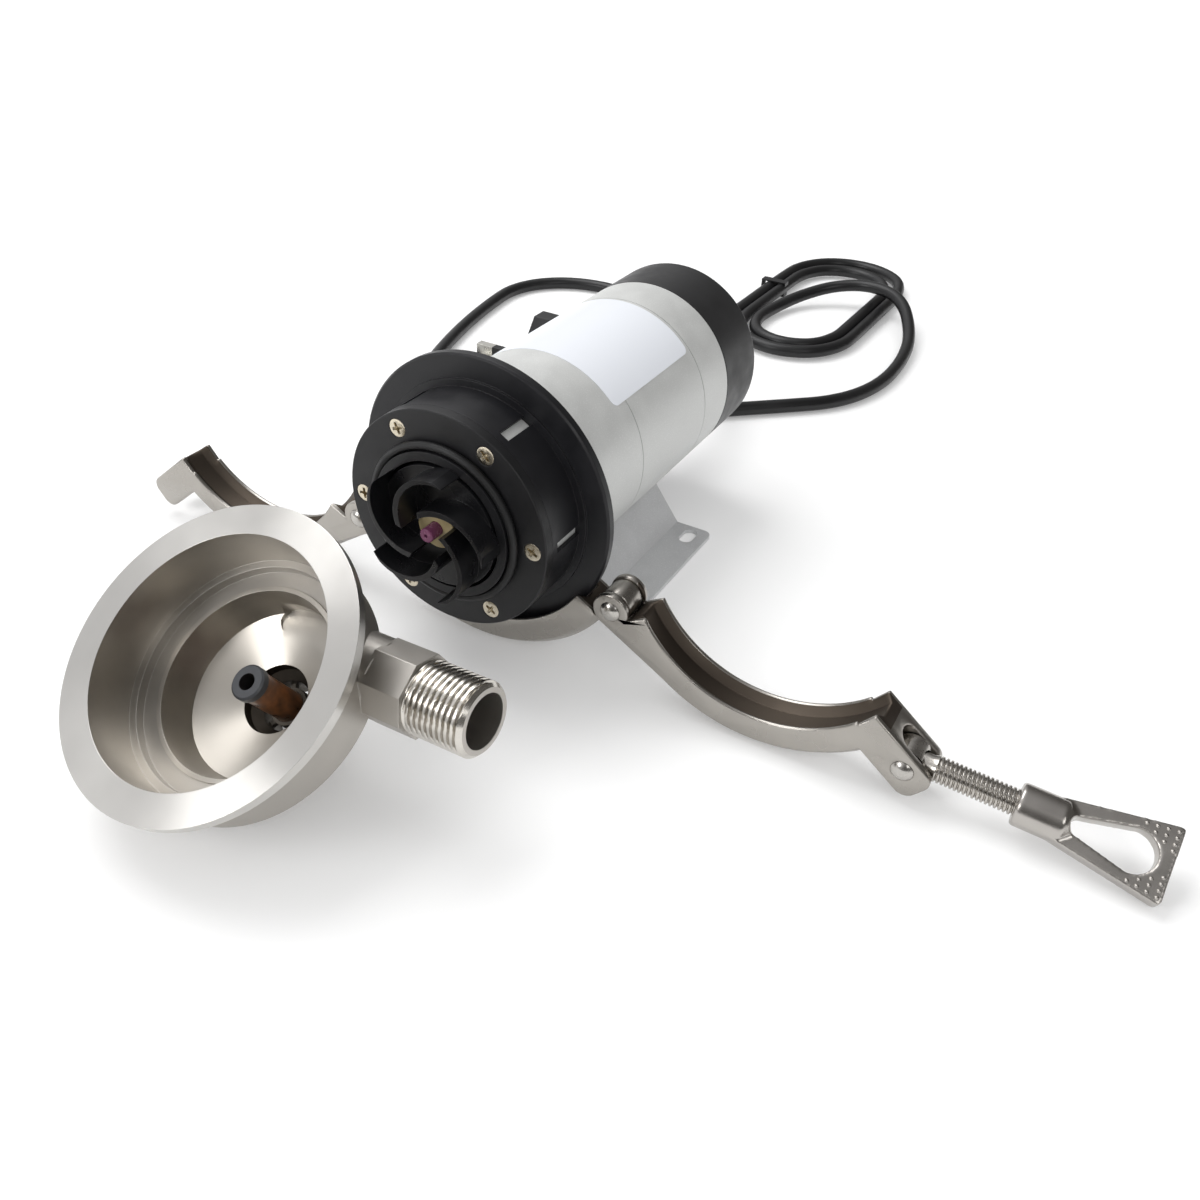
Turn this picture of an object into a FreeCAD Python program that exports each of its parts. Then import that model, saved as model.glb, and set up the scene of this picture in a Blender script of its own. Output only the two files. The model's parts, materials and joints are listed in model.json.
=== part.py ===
import FreeCAD, Part
import math
import os

import Sketcher

# Magnetic drive pump, laid open: motor on its foot bracket, pump head beside it, clamp spread out.
# Origin: centre of the four foot slots, on the table. +Z up, +Y to the rear of the motor.

doc = FreeCAD.newDocument("magnetic_drive_pump")
sheet = doc.addObject("Spreadsheet::Sheet", "Sizes")

# Driving sizes in millimetres and degrees, one name each.
SIZES = {
    # Places on the table
    "flange_to_slots": 61.5,
    "seat_gap": 0.3,
    "snug_gap": 0.05,
    "overcut": 1.0,
    "root_overlap": 0.5,
    # Flange, hub and front plate
    "flange_radius": 45.5,
    "flange_thick": 3.5,
    "flange_edge_chamfer": 0.6,
    "hub_radius": 35.7,
    "hub_length": 19.0,
    "hub_root_radius": 38.0,
    "hub_root_step": 0.8,
    "window_count": 6,
    "window_width": 3.4,
    "window_length": 13.0,
    "plate_thick": 3.5,
    "plate_spigot_outer": 23.9,
    "plate_spigot_height": 3.0,
    "oring_cord": 2.6,
    "can_outer": 22.4,
    "can_wall": 1.4,
    "can_depth": 30.0,
    "shaft_socket_depth": 4.0,
    "shaft_end_gap": 0.4,
    "screw_circle": 30.8,
    "screw_count": 6,
    "screw_head_radius": 3.0,
    "screw_shank_radius": 1.5,
    "screw_head_depth": 1.7,
    "screw_length": 8.4,
    # Motor casings
    "motor_radius": 34.3,
    "housing_wall": 1.6,
    "housing_front": 13.6,
    "front_seam": 42.5,
    "rear_seam": 89.6,
    "seam_gap": 0.3,
    "cap_front": 109.0,
    "cap_rear": 135.0,
    "cap_gap": 0.4,
    "cap_wall": 2.2,
    "cap_edge_round": 1.5,
    "vent_inner": 10.0,
    "vent_outer": 22.0,
    "vent_width": 2.4,
    "vent_count": 12,
    "gland_drop": 26.0,
    "gland_radius": 5.0,
    "gland_flange_radius": 7.0,
    "gland_length": 22.0,
    "gland_flange_thick": 2.5,
    "gland_root": 0.8,
    "gland_tip": 0.6,
    # Mains lead and its plug
    "cord_diameter": 6.5,
    "hank_x": -8.0,
    "hank_y": 281.0,
    "hank_bend_radius": 33.0,
    "hank_straight": 94.0,
    "hank_turns": 2,
    "hank_lift": 1.0,
    "tie_along": 12.0,
    "tie_width": 5.0,
    "tie_thick": 0.8,
    "plug_x": -83.0,
    "plug_y": 97.0,
    "plug_deep": 26.0,
    "plug_front": 21.0,
    "plug_rear": 33.0,
    "plug_low_height": 22.0,
    "plug_high_height": 31.0,
    "plug_slope_start": 13.7,
    "plug_slope_end": 21.0,
    "plug_corner": 4.0,
    "plug_relief_height": 12.0,
    "plug_relief_length": 20.0,
    "plug_relief_radius": 6.5,
    "plug_pin_length": 17.7,
    "plug_pin_sleeve": 9.0,
    "plug_pin_wide": 6.35,
    "plug_pin_thick": 4.0,
    "plug_pin_high": 18.0,
    "plug_pin_low": 7.0,
    "plug_earth_along": -9.0,
    "plug_earth_height": 12.0,
    "shell_wall": 1.8,
    "bulkhead_thick": 4.0,
    "bulkhead_gap": 1.0,
    "bearing_shoulder": 1.2,
    "rear_bulkhead_inset": 5.0,
    "bearing_outer_radius": 11.0,
    "bearing_bore": 4.0,
    "bearing_width": 7.0,
    "bearing_ring": 2.1,
    "ball_radius": 1.35,
    "ball_count": 7,
    "bearing_seat_wall": 2.5,
    # Rotor and stator
    "shaft_clearance": 0.03,
    "rotor_radius": 17.0,
    "air_gap": 0.4,
    "stack_length": 36.0,
    "slot_count": 12,
    "stator_slot_width": 4.5,
    "stator_yoke": 4.5,
    "winding_overhang": 6.0,
    "winding_inset": 1.0,
    "shell_screw_past_stack": 2.5,
    "shaft_front_gap": 0.5,
    "shaft_rear_inset": 1.0,
    "fan_gap": 3.5,
    "fan_radius": 27.0,
    "fan_blade_count": 9,
    "fan_blade_length": 8.0,
    "fan_blade_thick": 1.2,
    "fan_disc_thick": 1.6,
    "fan_hub_radius": 7.0,
    # Magnetic coupling
    "cup_wall": 2.2,
    "cup_floor": 3.0,
    "cup_end_gap": 1.2,
    "cup_front": 8.0,
    "magnet_count": 8,
    "magnet_thick": 3.0,
    "magnet_length": 20.0,
    "magnet_inset": 1.0,
    "magnet_split": 1.0,
    "coupling_gap": 0.8,
    "screw_ring_inner": 27.6,
    "screw_ring_back": 9.0,
    # Impeller
    "impeller_radius": 21.5,
    "impeller_disc_radius": 20.0,
    "impeller_tail_radius": 19.6,
    "impeller_disc_thick": 1.6,
    "impeller_front": 31.0,
    "vane_count": 5,
    "vane_thick": 2.2,
    "vane_curve": 14.5,
    "vane_tip_spread": 10.0,
    "vane_inner_radius": 7.0,
    "vane_sweep": 95.0,
    "vane_phase": -1.4,
    "impeller_magnet_thick": 5.0,
    "impeller_bush_radius": 6.5,
    "impeller_bush_rise": 1.0,
    "impeller_face_gap": 0.4,
    "impeller_skin": 1.0,
    "magnet_cover": 2.0,
    "vane_taper": 1.0,
    "bush_past_tail": 0.2,
    "pump_shaft_radius": 2.3,
    "pump_shaft_tip": 28.5,
    "pump_shaft_hole": 0.6,
    "pump_shaft_hole_depth": 3.0,
    "running_gap": 0.08,
    # Clamp
    "groove_half_floor": 3.3,
    "groove_half_lip": 5.6,
    "lip_reach": 2.5,
    "clamp_half_width": 6.85,
    "clamp_cover": 5.5,
    "clamp_crown_rise": 2.5,
    "clamp_crown_half": 3.6,
    "clamp_behind_face": 2.7,
    "hinge_angle": 25.6,
    "hinge_stand_off": 0.9,
    "ear_radius": 6.0,
    "barrel_radius": 5.5,
    "knuckle_gap": 0.35,
    "ear_gap": 0.6,
    "barrel_gap": 0.8,
    "flange_room_depth": 10.0,
    "barrel_half": 4.1,
    "pin_radius": 2.3,
    "pin_head_radius": 3.4,
    "pin_head_rise": 1.6,
    "barrel_root": 0.3805,
    "arm_start_angle": 21.0,
    "arm_end_angle": 84.0,
    "lug_face": 1.9,
    "lug_thick": 12.0,
    "lug_rise": 16.0,
    "lug_root_depth": 10.0,
    "lug_corner": 4.0,
    "fork_half_gap": 4.25,
    "fork_depth": 16.7,
    "lug_pin_drop": 8.2,
    "lug_pin_inset": 5.4,
    "swing_angle": 3.2,
    "bolt_radius": 3.9,
    "bolt_length": 44.0,
    "bolt_eye_radius": 5.4,
    "nut_start": 30.5,
    "nut_barrel_radius": 6.3,
    "nut_barrel_length": 12.5,
    "nut_shoulder": 4.5,
    "nut_corner": 1.2,
    "nut_paddle_inset": 0.3,
    "nut_paddle_root": 2.0,
    "nut_barrel_chamfer": 0.6,
    "nut_length": 40.5,
    "nut_end_half_width": 11.0,
    "nut_thick": 5.6,
    "nut_hole_half_width": 6.2,
    "nut_hole_start": 14.0,
    "nut_hole_end": 36.5,
    "nut_hole_tip": 2.8,
    "nut_roll": 33.0,
    # Pump head
    "ring_inner": 36.4,
    "ring_rim": 3.0,
    "ring_back_radius": 41.0,
    "ring_back_depth": 7.0,
    "bore_depth": 16.0,
    "groove_radius": 34.0,
    "seat_depth": 19.0,
    "chamber_radius": 27.6,
    "chamber_rim_width": 1.4,
    "chamber_rim_height": 0.9,
    "chamber_crease_radius": 25.4,
    "chamber_crease_depth": 29.0,
    "eye_radius": 10.5,
    "eye_depth": 32.6,
    "neck_slope": 1.8,
    "eye_slope": 2.5,
    "mouth_gap": 0.4,
    "head_wall": 3.2,
    "inlet_bore": 7.75,
    "thread_radius": 10.48,
    "thread_chamfer": 1.2,
    "head_rest_drop": 0.66,
    "neck_radius": 12.2,
    "inlet_thread_start": 38.0,
    "inlet_end": 47.5,
    "outlet_offset": 16.0,
    "outlet_depth": 23.0,
    "outlet_bore": 7.75,
    "outlet_neck_radius": 11.2,
    "collar_start": 38.0,
    "collar_end": 52.0,
    "collar_half": 10.9,
    "collar_corner": 0.7,
    "outlet_end": 71.0,
    "bush_face_depth": 18.5,
    "bush_radius": 5.3,
    "bush_hole": 2.5,
    "bush_length": 2.6,
    "sleeve_radius": 4.7,
    "sleeve_end": 43.0,
    "throat_edge": 18.6,
    "throat_top": 22.6,
    "throat_run": 14.0,
    "throat_turn": 15.0,
    "throat_bend": 7.0,
    "throat_reach": 26.2,
    "throat_round": 5.0,
    "throat_start": 8.5,
    "throat_lead": 2.0,
    "throat_rise": 2.6,
    "throat_wall_cut": 0.5,
    "throat_deep": 5.6,
    "throat_sink": 1.2,
    "spider_depth": 39.0,
    "spider_boss_radius": 5.9,
    "spider_thick": 1.6,
    "spider_root": 0.8,
    "spider_struts": 3,
    "head_tilt": 56.2,
    "head_turn": -8.0,
    "head_roll": -6.8,
    "head_x": -22.0,
    "head_forward": 94.9,
    # Foot bracket
    "sheet_thick": 1.5,
    "saddle_half_angle": 18.0,
    "foot_inner": 25.0,
    "slot_to_edge": 7.0,
    "bracket_front": 28.0,
    "slot_spacing_along": 53.0,
    "slot_width": 5.5,
    "slot_length": 9.5,
    "slot_spacing_across": 66.0,
    "foot_corner_round": 3.0,
    "bracket_screw_radius": 2.0,
    "bracket_screw_head": 3.6,
    "bracket_screw_head_thick": 1.6,
    "bracket_screw_tip": 1.0,
    "saddle_bend": 2.0,
}


class Size:
    """A number with the expression that gives it in the document."""

    def __init__(self, value, text):
        self.value = value
        self.text = text

    def __add__(self, other):
        other = size(other)
        return Size(self.value + other.value, "(%s + %s)" % (self.text, other.text))

    def __sub__(self, other):
        other = size(other)
        return Size(self.value - other.value, "(%s - %s)" % (self.text, other.text))

    def __mul__(self, other):
        other = size(other)
        return Size(self.value * other.value, "(%s * %s)" % (self.text, other.text))

    def __truediv__(self, other):
        other = size(other)
        return Size(self.value / other.value, "(%s / %s)" % (self.text, other.text))

    def __radd__(self, other):
        return size(other) + self

    def __rsub__(self, other):
        return size(other) - self

    def __neg__(self):
        return Size(-self.value, "(-1 * %s)" % self.text)


def size(number):
    """Wrap a plain number, and pass a Size through."""
    if isinstance(number, Size):
        return number
    return Size(float(number), repr(float(number)))


class Sizes:
    """Every driving size by its name."""


s = Sizes()
for row, (alias, number) in enumerate(SIZES.items(), start=1):
    sheet.set("A%d" % row, alias)
    sheet.set("B%d" % row, str(number))
    sheet.setAlias("B%d" % row, alias)
    setattr(s, alias, Size(float(number), "Sizes." + alias))
doc.recompute()


def cosine(angle):
    angle = size(angle)
    return Size(math.cos(math.radians(angle.value)), "cos(%s)" % angle.text)


def sine(angle):
    angle = size(angle)
    return Size(math.sin(math.radians(angle.value)), "sin(%s)" % angle.text)


def polar(radius, angle):
    """The point at a radius and an angle in degrees."""
    return radius * cosine(angle), radius * sine(angle)


# Sizes that follow from the driving ones. Along the motor, zero is the front face of the flange.
clamp_flank = s.flange_radius + s.clamp_cover
clamp_crown = clamp_flank + s.clamp_crown_rise
axis_height = clamp_crown
plate_front = -s.hub_length
plate_back = plate_front + s.plate_thick
spigot_front = plate_front - s.plate_spigot_height
can_back = plate_back + s.can_depth
can_floor = can_back - s.can_wall
can_inner = s.can_outer - s.can_wall
shaft_socket = can_floor - s.shaft_socket_depth
housing_inner = s.motor_radius - s.housing_wall
sleeve_bore = s.motor_radius + s.snug_gap
magnet_inner = s.can_outer + s.coupling_gap
cup_inner = magnet_inner + s.magnet_thick + s.snug_gap
cup_outer = cup_inner + s.cup_wall
cup_back = can_back + s.cup_end_gap
bulkhead_front = cup_back + s.cup_floor + s.bulkhead_gap
front_bearing = bulkhead_front + s.bearing_shoulder
rear_bulkhead = s.cap_front - s.rear_bulkhead_inset
rear_bearing = rear_bulkhead - s.bearing_shoulder - s.bearing_width
stack_middle = (s.front_seam + s.rear_seam) / 2
stator_outer = s.motor_radius - s.shell_wall - s.snug_gap
stator_inner = s.rotor_radius + s.air_gap
fan_front = s.cap_front + s.fan_gap
fan_back = fan_front + s.fan_disc_thick + s.fan_blade_length
disc_front = spigot_front - s.impeller_face_gap
tail_end = shaft_socket - s.seat_gap
tail_radius = s.impeller_tail_radius
impeller_magnet_outer = tail_radius - s.impeller_skin
screw_reach = s.stack_length / 2 + s.shell_screw_past_stack
shell_screws = (stack_middle - screw_reach, stack_middle + screw_reach)
saddle_radius = s.motor_radius + s.snug_gap
groove_floor = s.flange_radius + s.seat_gap
open_angle = size(180) - s.hinge_angle * 2


def body(label, place=None):
    """An empty body under its own name, on the motor's axis unless a place is given."""
    made = doc.addObject("PartDesign::Body", label)
    made.Label = label
    if place is None:
        spot = FreeCAD.Vector(0, -s.flange_to_slots.value, axis_height.value)
        made.Placement = FreeCAD.Placement(spot, FreeCAD.Rotation())
        made.setExpression("Placement.Base.y", (-s.flange_to_slots).text)
        made.setExpression("Placement.Base.z", axis_height.text)
    else:
        made.Placement = place
    return made


def origin_part(made, role):
    """One of a body's own origin planes or axes."""
    return [feature for feature in made.Origin.OriginFeatures if feature.Role == role][0]


def sketch(made, name, role):
    """An empty sketch on one of the body's own origin planes."""
    drawn = made.newObject("Sketcher::SketchObject", name)
    drawn.AttachmentSupport = [(origin_part(made, role), "")]
    drawn.MapMode = "FlatFace"
    return drawn


def hold(drawn, index, end, x, y):
    """Fix one end of a curve at a point whose coordinates follow the sizes."""
    for kind, axis, value in (("DistanceX", -2, size(x)), ("DistanceY", -1, size(y))):
        if value.value == 0:
            drawn.addConstraint(Sketcher.Constraint("PointOnObject", index, end, axis))
        else:
            number = drawn.addConstraint(Sketcher.Constraint(kind, -1, 1, index, end, value.value))
            drawn.setExpression("Constraints[%d]" % number, value.text)


def arc_between(start, end, radius):
    """The arc from start to end, anticlockwise for a positive radius, and its ends in order."""
    middle = (start + end) * 0.5
    along = end - start
    half = along.Length / 2
    rise = math.sqrt(max(radius * radius - half * half, 0.0))
    across = FreeCAD.Vector(-along.y, along.x, 0).normalize()
    centre = middle + across * math.copysign(rise, radius)
    first, last = (start, end) if radius > 0 else (end, start)
    begin = math.atan2(first.y - centre.y, first.x - centre.x)
    finish = math.atan2(last.y - centre.y, last.x - centre.x)
    circle = Part.Circle(centre, FreeCAD.Vector(0, 0, 1), abs(radius))
    return Part.ArcOfCircle(circle, begin, finish), ((1, 2) if radius > 0 else (2, 1))


def outline(drawn, points):
    """Draw a closed outline. A point is x, y and, where an arc leaves it, that arc's signed radius."""
    count = len(points)
    curves = []
    for number, point in enumerate(points):
        after = points[(number + 1) % count]
        start = FreeCAD.Vector(size(point[0]).value, size(point[1]).value, 0)
        end = FreeCAD.Vector(size(after[0]).value, size(after[1]).value, 0)
        if len(point) == 2:
            curves.append((drawn.addGeometry(Part.LineSegment(start, end)), 1, 2))
        else:
            arc, ends = arc_between(start, end, size(point[2]).value)
            curves.append((drawn.addGeometry(arc),) + ends)
    for number, (curve, first, last) in enumerate(curves):
        after = curves[(number + 1) % count]
        drawn.addConstraint(Sketcher.Constraint("Coincident", curve, last, after[0], after[1]))
    for (curve, first, last), point in zip(curves, points):
        hold(drawn, curve, first, point[0], point[1])
        if len(point) == 3:
            radius = size(point[2])
            number = drawn.addConstraint(Sketcher.Constraint("Radius", curve, abs(radius.value)))
            drawn.setExpression("Constraints[%d]" % number, "abs(%s)" % radius.text)


def circle(drawn, x, y, radius):
    """Draw a circle whose centre and radius follow the sizes."""
    x, y, radius = size(x), size(y), size(radius)
    shape = Part.Circle(FreeCAD.Vector(x.value, y.value, 0), FreeCAD.Vector(0, 0, 1), radius.value)
    index = drawn.addGeometry(shape)
    if x.value == 0 and y.value == 0:
        drawn.addConstraint(Sketcher.Constraint("Coincident", index, 3, -1, 1))
    else:
        hold(drawn, index, 3, x, y)
    number = drawn.addConstraint(Sketcher.Constraint("Radius", index, radius.value))
    drawn.setExpression("Constraints[%d]" % number, radius.text)


def offset(drawn, across=0, up=0, out=0):
    """Move a sketch in its own plane and along its normal."""
    across, up, out = size(across), size(up), size(out)
    shift = FreeCAD.Vector(across.value, up.value, out.value)
    drawn.AttachmentOffset = FreeCAD.Placement(shift, FreeCAD.Rotation())
    for letter, amount in (("x", across), ("y", up), ("z", out)):
        if amount.value != 0:
            drawn.setExpression("AttachmentOffset.Base." + letter, amount.text)


def turn(made, name, points, axis="V_Axis", cut=False, angles=None, role="XY_Plane", across=0, up=0, out=0):
    """Turn an outline about an axis of its sketch, to add or to cut."""
    drawn = sketch(made, name + "_profile", role)
    offset(drawn, across, up, out)
    outline(drawn, points)
    feature = made.newObject("PartDesign::Groove" if cut else "PartDesign::Revolution", name)
    feature.Profile = drawn
    feature.ReferenceAxis = (drawn, [axis])
    if angles is None:
        feature.Angle = 360
    elif len(angles) == 1:
        feature.Midplane = True
        feature.Angle = angles[0].value
        feature.setExpression("Angle", angles[0].text)
    else:
        feature.Type = "TwoAngles"
        feature.Angle = angles[0].value
        feature.Angle2 = angles[1].value
        feature.setExpression("Angle", angles[0].text)
        feature.setExpression("Angle2", angles[1].text)
    drawn.Visibility = False
    return feature


def extrude(made, name, role, shapes, length=None, cut=False, both=True, reverse=False, out=0):
    """Pad or pocket a set of outlines and circles. No length cuts right through."""
    drawn = sketch(made, name + "_profile", role)
    offset(drawn, out=out)
    for shape in shapes:
        if isinstance(shape, tuple):
            circle(drawn, *shape)
        else:
            outline(drawn, shape)
    feature = made.newObject("PartDesign::Pocket" if cut else "PartDesign::Pad", name)
    feature.Profile = drawn
    if length is None:
        feature.Type = "ThroughAll"
    else:
        feature.Length = size(length).value
        feature.setExpression("Length", size(length).text)
    if both:
        feature.SideType = "Symmetric"
    feature.Reversed = reverse
    return feature


def repeat(made, name, features, count, role="Y_Axis"):
    """Repeat features evenly round one of the body's axes."""
    pattern = made.newObject("PartDesign::PolarPattern", name)
    pattern.Originals = features
    pattern.Axis = (origin_part(made, role), [""])
    pattern.Angle = 360
    pattern.Occurrences = int(count.value)
    pattern.setExpression("Occurrences", count.text)
    made.Tip = pattern
    return pattern


def turned(label, points, place=None):
    """A body made by turning one outline right round the motor's axis."""
    made = body(label, place)
    turn(made, "turned", points)
    return made


# Black flange, hub and front plate

def motor_flange():
    chamfer = s.flange_edge_chamfer
    made = turned("motor_flange", [
        (s.hub_radius, plate_back),
        (s.hub_radius, -s.hub_root_step),
        (s.hub_root_radius, -s.hub_root_step),
        (s.hub_root_radius, 0),
        (s.flange_radius - chamfer, 0),
        (s.flange_radius, chamfer),
        (s.flange_radius, s.flange_thick - chamfer),
        (s.flange_radius - chamfer, s.flange_thick),
        (sleeve_bore, s.flange_thick),
        (sleeve_bore, -s.housing_front - s.snug_gap),
        (housing_inner - s.snug_gap, -s.housing_front - s.snug_gap),
        (housing_inner - s.snug_gap, -s.screw_ring_back),
        (s.screw_ring_inner, -s.screw_ring_back),
        (s.screw_ring_inner, plate_back),
    ])
    half = s.window_width / 2
    first, last = -s.window_length, -s.hub_root_step
    window = [(first, -half), (last, -half), (last, half), (first, half)]
    cut = extrude(made, "window", "YZ_Plane", [window], cut=True, both=False, reverse=True)
    repeat(made, "windows", [cut], s.window_count)
    screw_hole = [(s.screw_circle, 0, s.screw_shank_radius + s.snug_gap)]
    deep = s.screw_length - s.plate_thick + s.seat_gap
    hole = extrude(made, "screw_hole", "XZ_Plane", screw_hole, length=deep, cut=True, both=False,
                   out=-plate_back)
    repeat(made, "screw_holes", [hole], s.screw_count)
    return made


def separator_plate():
    chamfer = s.flange_edge_chamfer / 2
    hole = s.pump_shaft_radius + s.snug_gap
    made = turned("separator_plate", [
        (s.hub_radius, plate_back - s.snug_gap),
        (s.hub_radius, plate_front + chamfer),
        (s.hub_radius - chamfer, plate_front),
        (s.plate_spigot_outer, plate_front),
        (s.plate_spigot_outer, spigot_front),
        (can_inner, spigot_front),
        (can_inner, can_floor),
        (s.pump_shaft_radius * 2, can_floor),
        (s.pump_shaft_radius * 2, shaft_socket),
        (hole, shaft_socket),
        (hole, can_floor + s.shaft_end_gap),
        (0, can_floor + s.shaft_end_gap),
        (0, can_back),
        (s.can_outer, can_back),
        (s.can_outer, plate_back - s.snug_gap),
    ])
    seat = turn(made, "screw_seat", [
        (0, plate_front),
        (s.screw_head_radius + s.snug_gap, plate_front),
        (s.screw_shank_radius + s.snug_gap, plate_front + s.screw_head_depth),
        (s.screw_shank_radius + s.snug_gap, plate_back + s.overcut),
        (0, plate_back + s.overcut),
    ], cut=True, across=s.screw_circle)
    repeat(made, "screw_seats", [seat], s.screw_count)
    return made


def plate_screws():
    made = body("plate_screws")
    tip = plate_front + s.screw_length
    screw = turn(made, "screw", [
        (0, plate_front),
        (s.screw_head_radius, plate_front),
        (s.screw_shank_radius, plate_front + s.screw_head_depth),
        (s.screw_shank_radius, tip),
        (0, tip),
    ], across=s.screw_circle)
    repeat(made, "screws", [screw], s.screw_count)
    return made


def plate_o_ring():
    made = body("plate_o_ring")
    radius = s.oring_cord / 2
    centre = s.plate_spigot_outer + radius + s.snug_gap
    middle = plate_front - radius - s.snug_gap
    turn(made, "ring", [
        (centre, middle - radius, radius), (centre + radius, middle, radius),
        (centre, middle + radius, radius), (centre - radius, middle, radius),
    ])
    return made


# Silver casings of the motor

def front_housing():
    wide = s.bearing_outer_radius + s.snug_gap
    boss = wide + s.bearing_seat_wall
    return turned("front_housing", [
        (s.motor_radius, -s.housing_front),
        (s.motor_radius, s.front_seam),
        (housing_inner, s.front_seam),
        (housing_inner, bulkhead_front + s.bulkhead_thick),
        (boss, bulkhead_front + s.bulkhead_thick),
        (boss, front_bearing + s.bearing_width),
        (wide, front_bearing + s.bearing_width),
        (wide, front_bearing),
        (wide - s.bearing_ring, front_bearing),
        (wide - s.bearing_ring, bulkhead_front),
        (housing_inner, bulkhead_front),
        (housing_inner, -s.housing_front),
    ])


def stator_shell():
    inner = s.motor_radius - s.shell_wall
    made = turned("stator_shell", [
        (inner, s.front_seam + s.seam_gap),
        (s.motor_radius, s.front_seam + s.seam_gap),
        (s.motor_radius, s.rear_seam - s.seam_gap),
        (inner, s.rear_seam - s.seam_gap),
    ])
    holes = [(0, along, s.bracket_screw_radius + s.snug_gap) for along in shell_screws]
    extrude(made, "screw_holes", "XY_Plane", holes, length=s.motor_radius + s.overcut, cut=True, both=False)
    return made


def rear_bell():
    wide = s.bearing_outer_radius + s.snug_gap
    boss = wide + s.bearing_seat_wall
    spigot = s.motor_radius - s.cap_wall - s.snug_gap
    inner = spigot - s.bearing_seat_wall
    return turned("rear_bell", [
        (s.motor_radius, s.rear_seam),
        (s.motor_radius, s.cap_front - s.cap_gap),
        (spigot, s.cap_front - s.cap_gap),
        (spigot, s.cap_front + s.bearing_seat_wall),
        (inner, s.cap_front + s.bearing_seat_wall),
        (inner, rear_bulkhead),
        (wide - s.bearing_ring, rear_bulkhead),
        (wide - s.bearing_ring, rear_bearing + s.bearing_width),
        (wide, rear_bearing + s.bearing_width),
        (wide, rear_bearing),
        (boss, rear_bearing),
        (boss, rear_bulkhead - s.bulkhead_thick),
        (housing_inner, rear_bulkhead - s.bulkhead_thick),
        (housing_inner, s.rear_seam),
    ])


def rear_cap():
    inner = s.motor_radius - s.cap_wall
    edge = s.cap_edge_round
    made = turned("rear_cap", [
        (inner, s.cap_front),
        (s.motor_radius, s.cap_front),
        (s.motor_radius, s.cap_rear - edge, edge),
        (s.motor_radius - edge, s.cap_rear),
        (0, s.cap_rear),
        (0, s.cap_rear - s.cap_wall),
        (inner, s.cap_rear - s.cap_wall),
    ])
    half = s.vent_width / 2
    vent = [(s.vent_inner, -half), (s.vent_outer, -half), (s.vent_outer, half), (s.vent_inner, half)]
    cut = extrude(made, "vent", "XZ_Plane", [vent], cut=True)
    repeat(made, "vents", [cut], s.vent_count)
    outlet = (0, -s.gland_drop, s.gland_radius + s.snug_gap)
    hole = extrude(made, "gland_hole", "XZ_Plane", [outlet], cut=True)
    made.Tip = hole
    return made


# Inside the motor

def stator_core():
    made = body("stator_core")
    half = s.stack_length / 2
    turn(made, "stack", [
        (stator_inner, stack_middle - half),
        (stator_outer, stack_middle - half),
        (stator_outer, stack_middle + half),
        (stator_inner, stack_middle + half),
    ])
    wide = s.stator_slot_width / 2
    bottom = stator_outer - s.stator_yoke
    slot = [(s.rotor_radius, -wide), (bottom, -wide), (bottom, wide), (s.rotor_radius, wide)]
    cut = extrude(made, "slot", "XZ_Plane", [slot], cut=True)
    repeat(made, "slots", [cut], s.slot_count)
    return made


def stator_windings():
    made = body("stator_windings")
    half = s.stack_length / 2 + s.seat_gap
    bottom = stator_outer - s.stator_yoke - s.seat_gap
    top = stator_inner + s.winding_inset
    ends = half + s.winding_overhang
    wide = s.stator_slot_width / 2 - s.seat_gap
    for name, side in (("front_coils", -1), ("rear_coils", 1)):
        turn(made, name, [
            (top, stack_middle + half * side),
            (bottom, stack_middle + half * side),
            (bottom, stack_middle + ends * side),
            (top, stack_middle + ends * side),
        ])
    drawn = [(top, stack_middle - ends), (bottom, stack_middle - ends)]
    drawn += [(bottom, stack_middle + ends), (top, stack_middle + ends)]
    bar = extrude(made, "bar", "XY_Plane", [drawn], length=wide * 2)
    repeat(made, "bars", [bar], s.slot_count)
    return made


def rotor_core():
    half = s.stack_length / 2
    bore = s.bearing_bore + s.snug_gap
    return turned("rotor_core", [
        (bore, stack_middle - half),
        (s.rotor_radius, stack_middle - half),
        (s.rotor_radius, stack_middle + half),
        (bore, stack_middle + half),
    ])


def motor_shaft():
    return turned("motor_shaft", [
        (0, cup_back + s.shaft_front_gap),
        (s.bearing_bore, cup_back + s.shaft_front_gap),
        (s.bearing_bore, fan_back - s.shaft_rear_inset),
        (0, fan_back - s.shaft_rear_inset),
    ])


def ring_pair(label, inner, outer):
    """The same ring at both bearings."""
    made = body(label)
    for name, start in (("front", front_bearing), ("rear", rear_bearing)):
        turn(made, name, [
            (inner, start + s.snug_gap),
            (outer, start + s.snug_gap),
            (outer, start + s.bearing_width - s.snug_gap),
            (inner, start + s.bearing_width - s.snug_gap),
        ])
    return made


def bearing_outer_rings():
    return ring_pair("bearing_outer_rings", s.bearing_outer_radius - s.bearing_ring, s.bearing_outer_radius)


def bearing_inner_rings():
    bore = s.bearing_bore + s.shaft_clearance
    return ring_pair("bearing_inner_rings", bore, s.bearing_bore + s.bearing_ring)


def bearing_balls():
    made = body("bearing_balls")
    middle = (s.bearing_outer_radius + s.bearing_bore) / 2
    balls = []
    for name, start in (("front_ball", front_bearing), ("rear_ball", rear_bearing)):
        centre = start + s.bearing_width / 2
        balls.append(turn(made, name, [
            (0, centre - s.ball_radius, s.ball_radius),
            (s.ball_radius, centre, s.ball_radius),
            (0, centre + s.ball_radius),
        ], across=middle))
    repeat(made, "balls", balls, s.ball_count)
    return made


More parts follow.
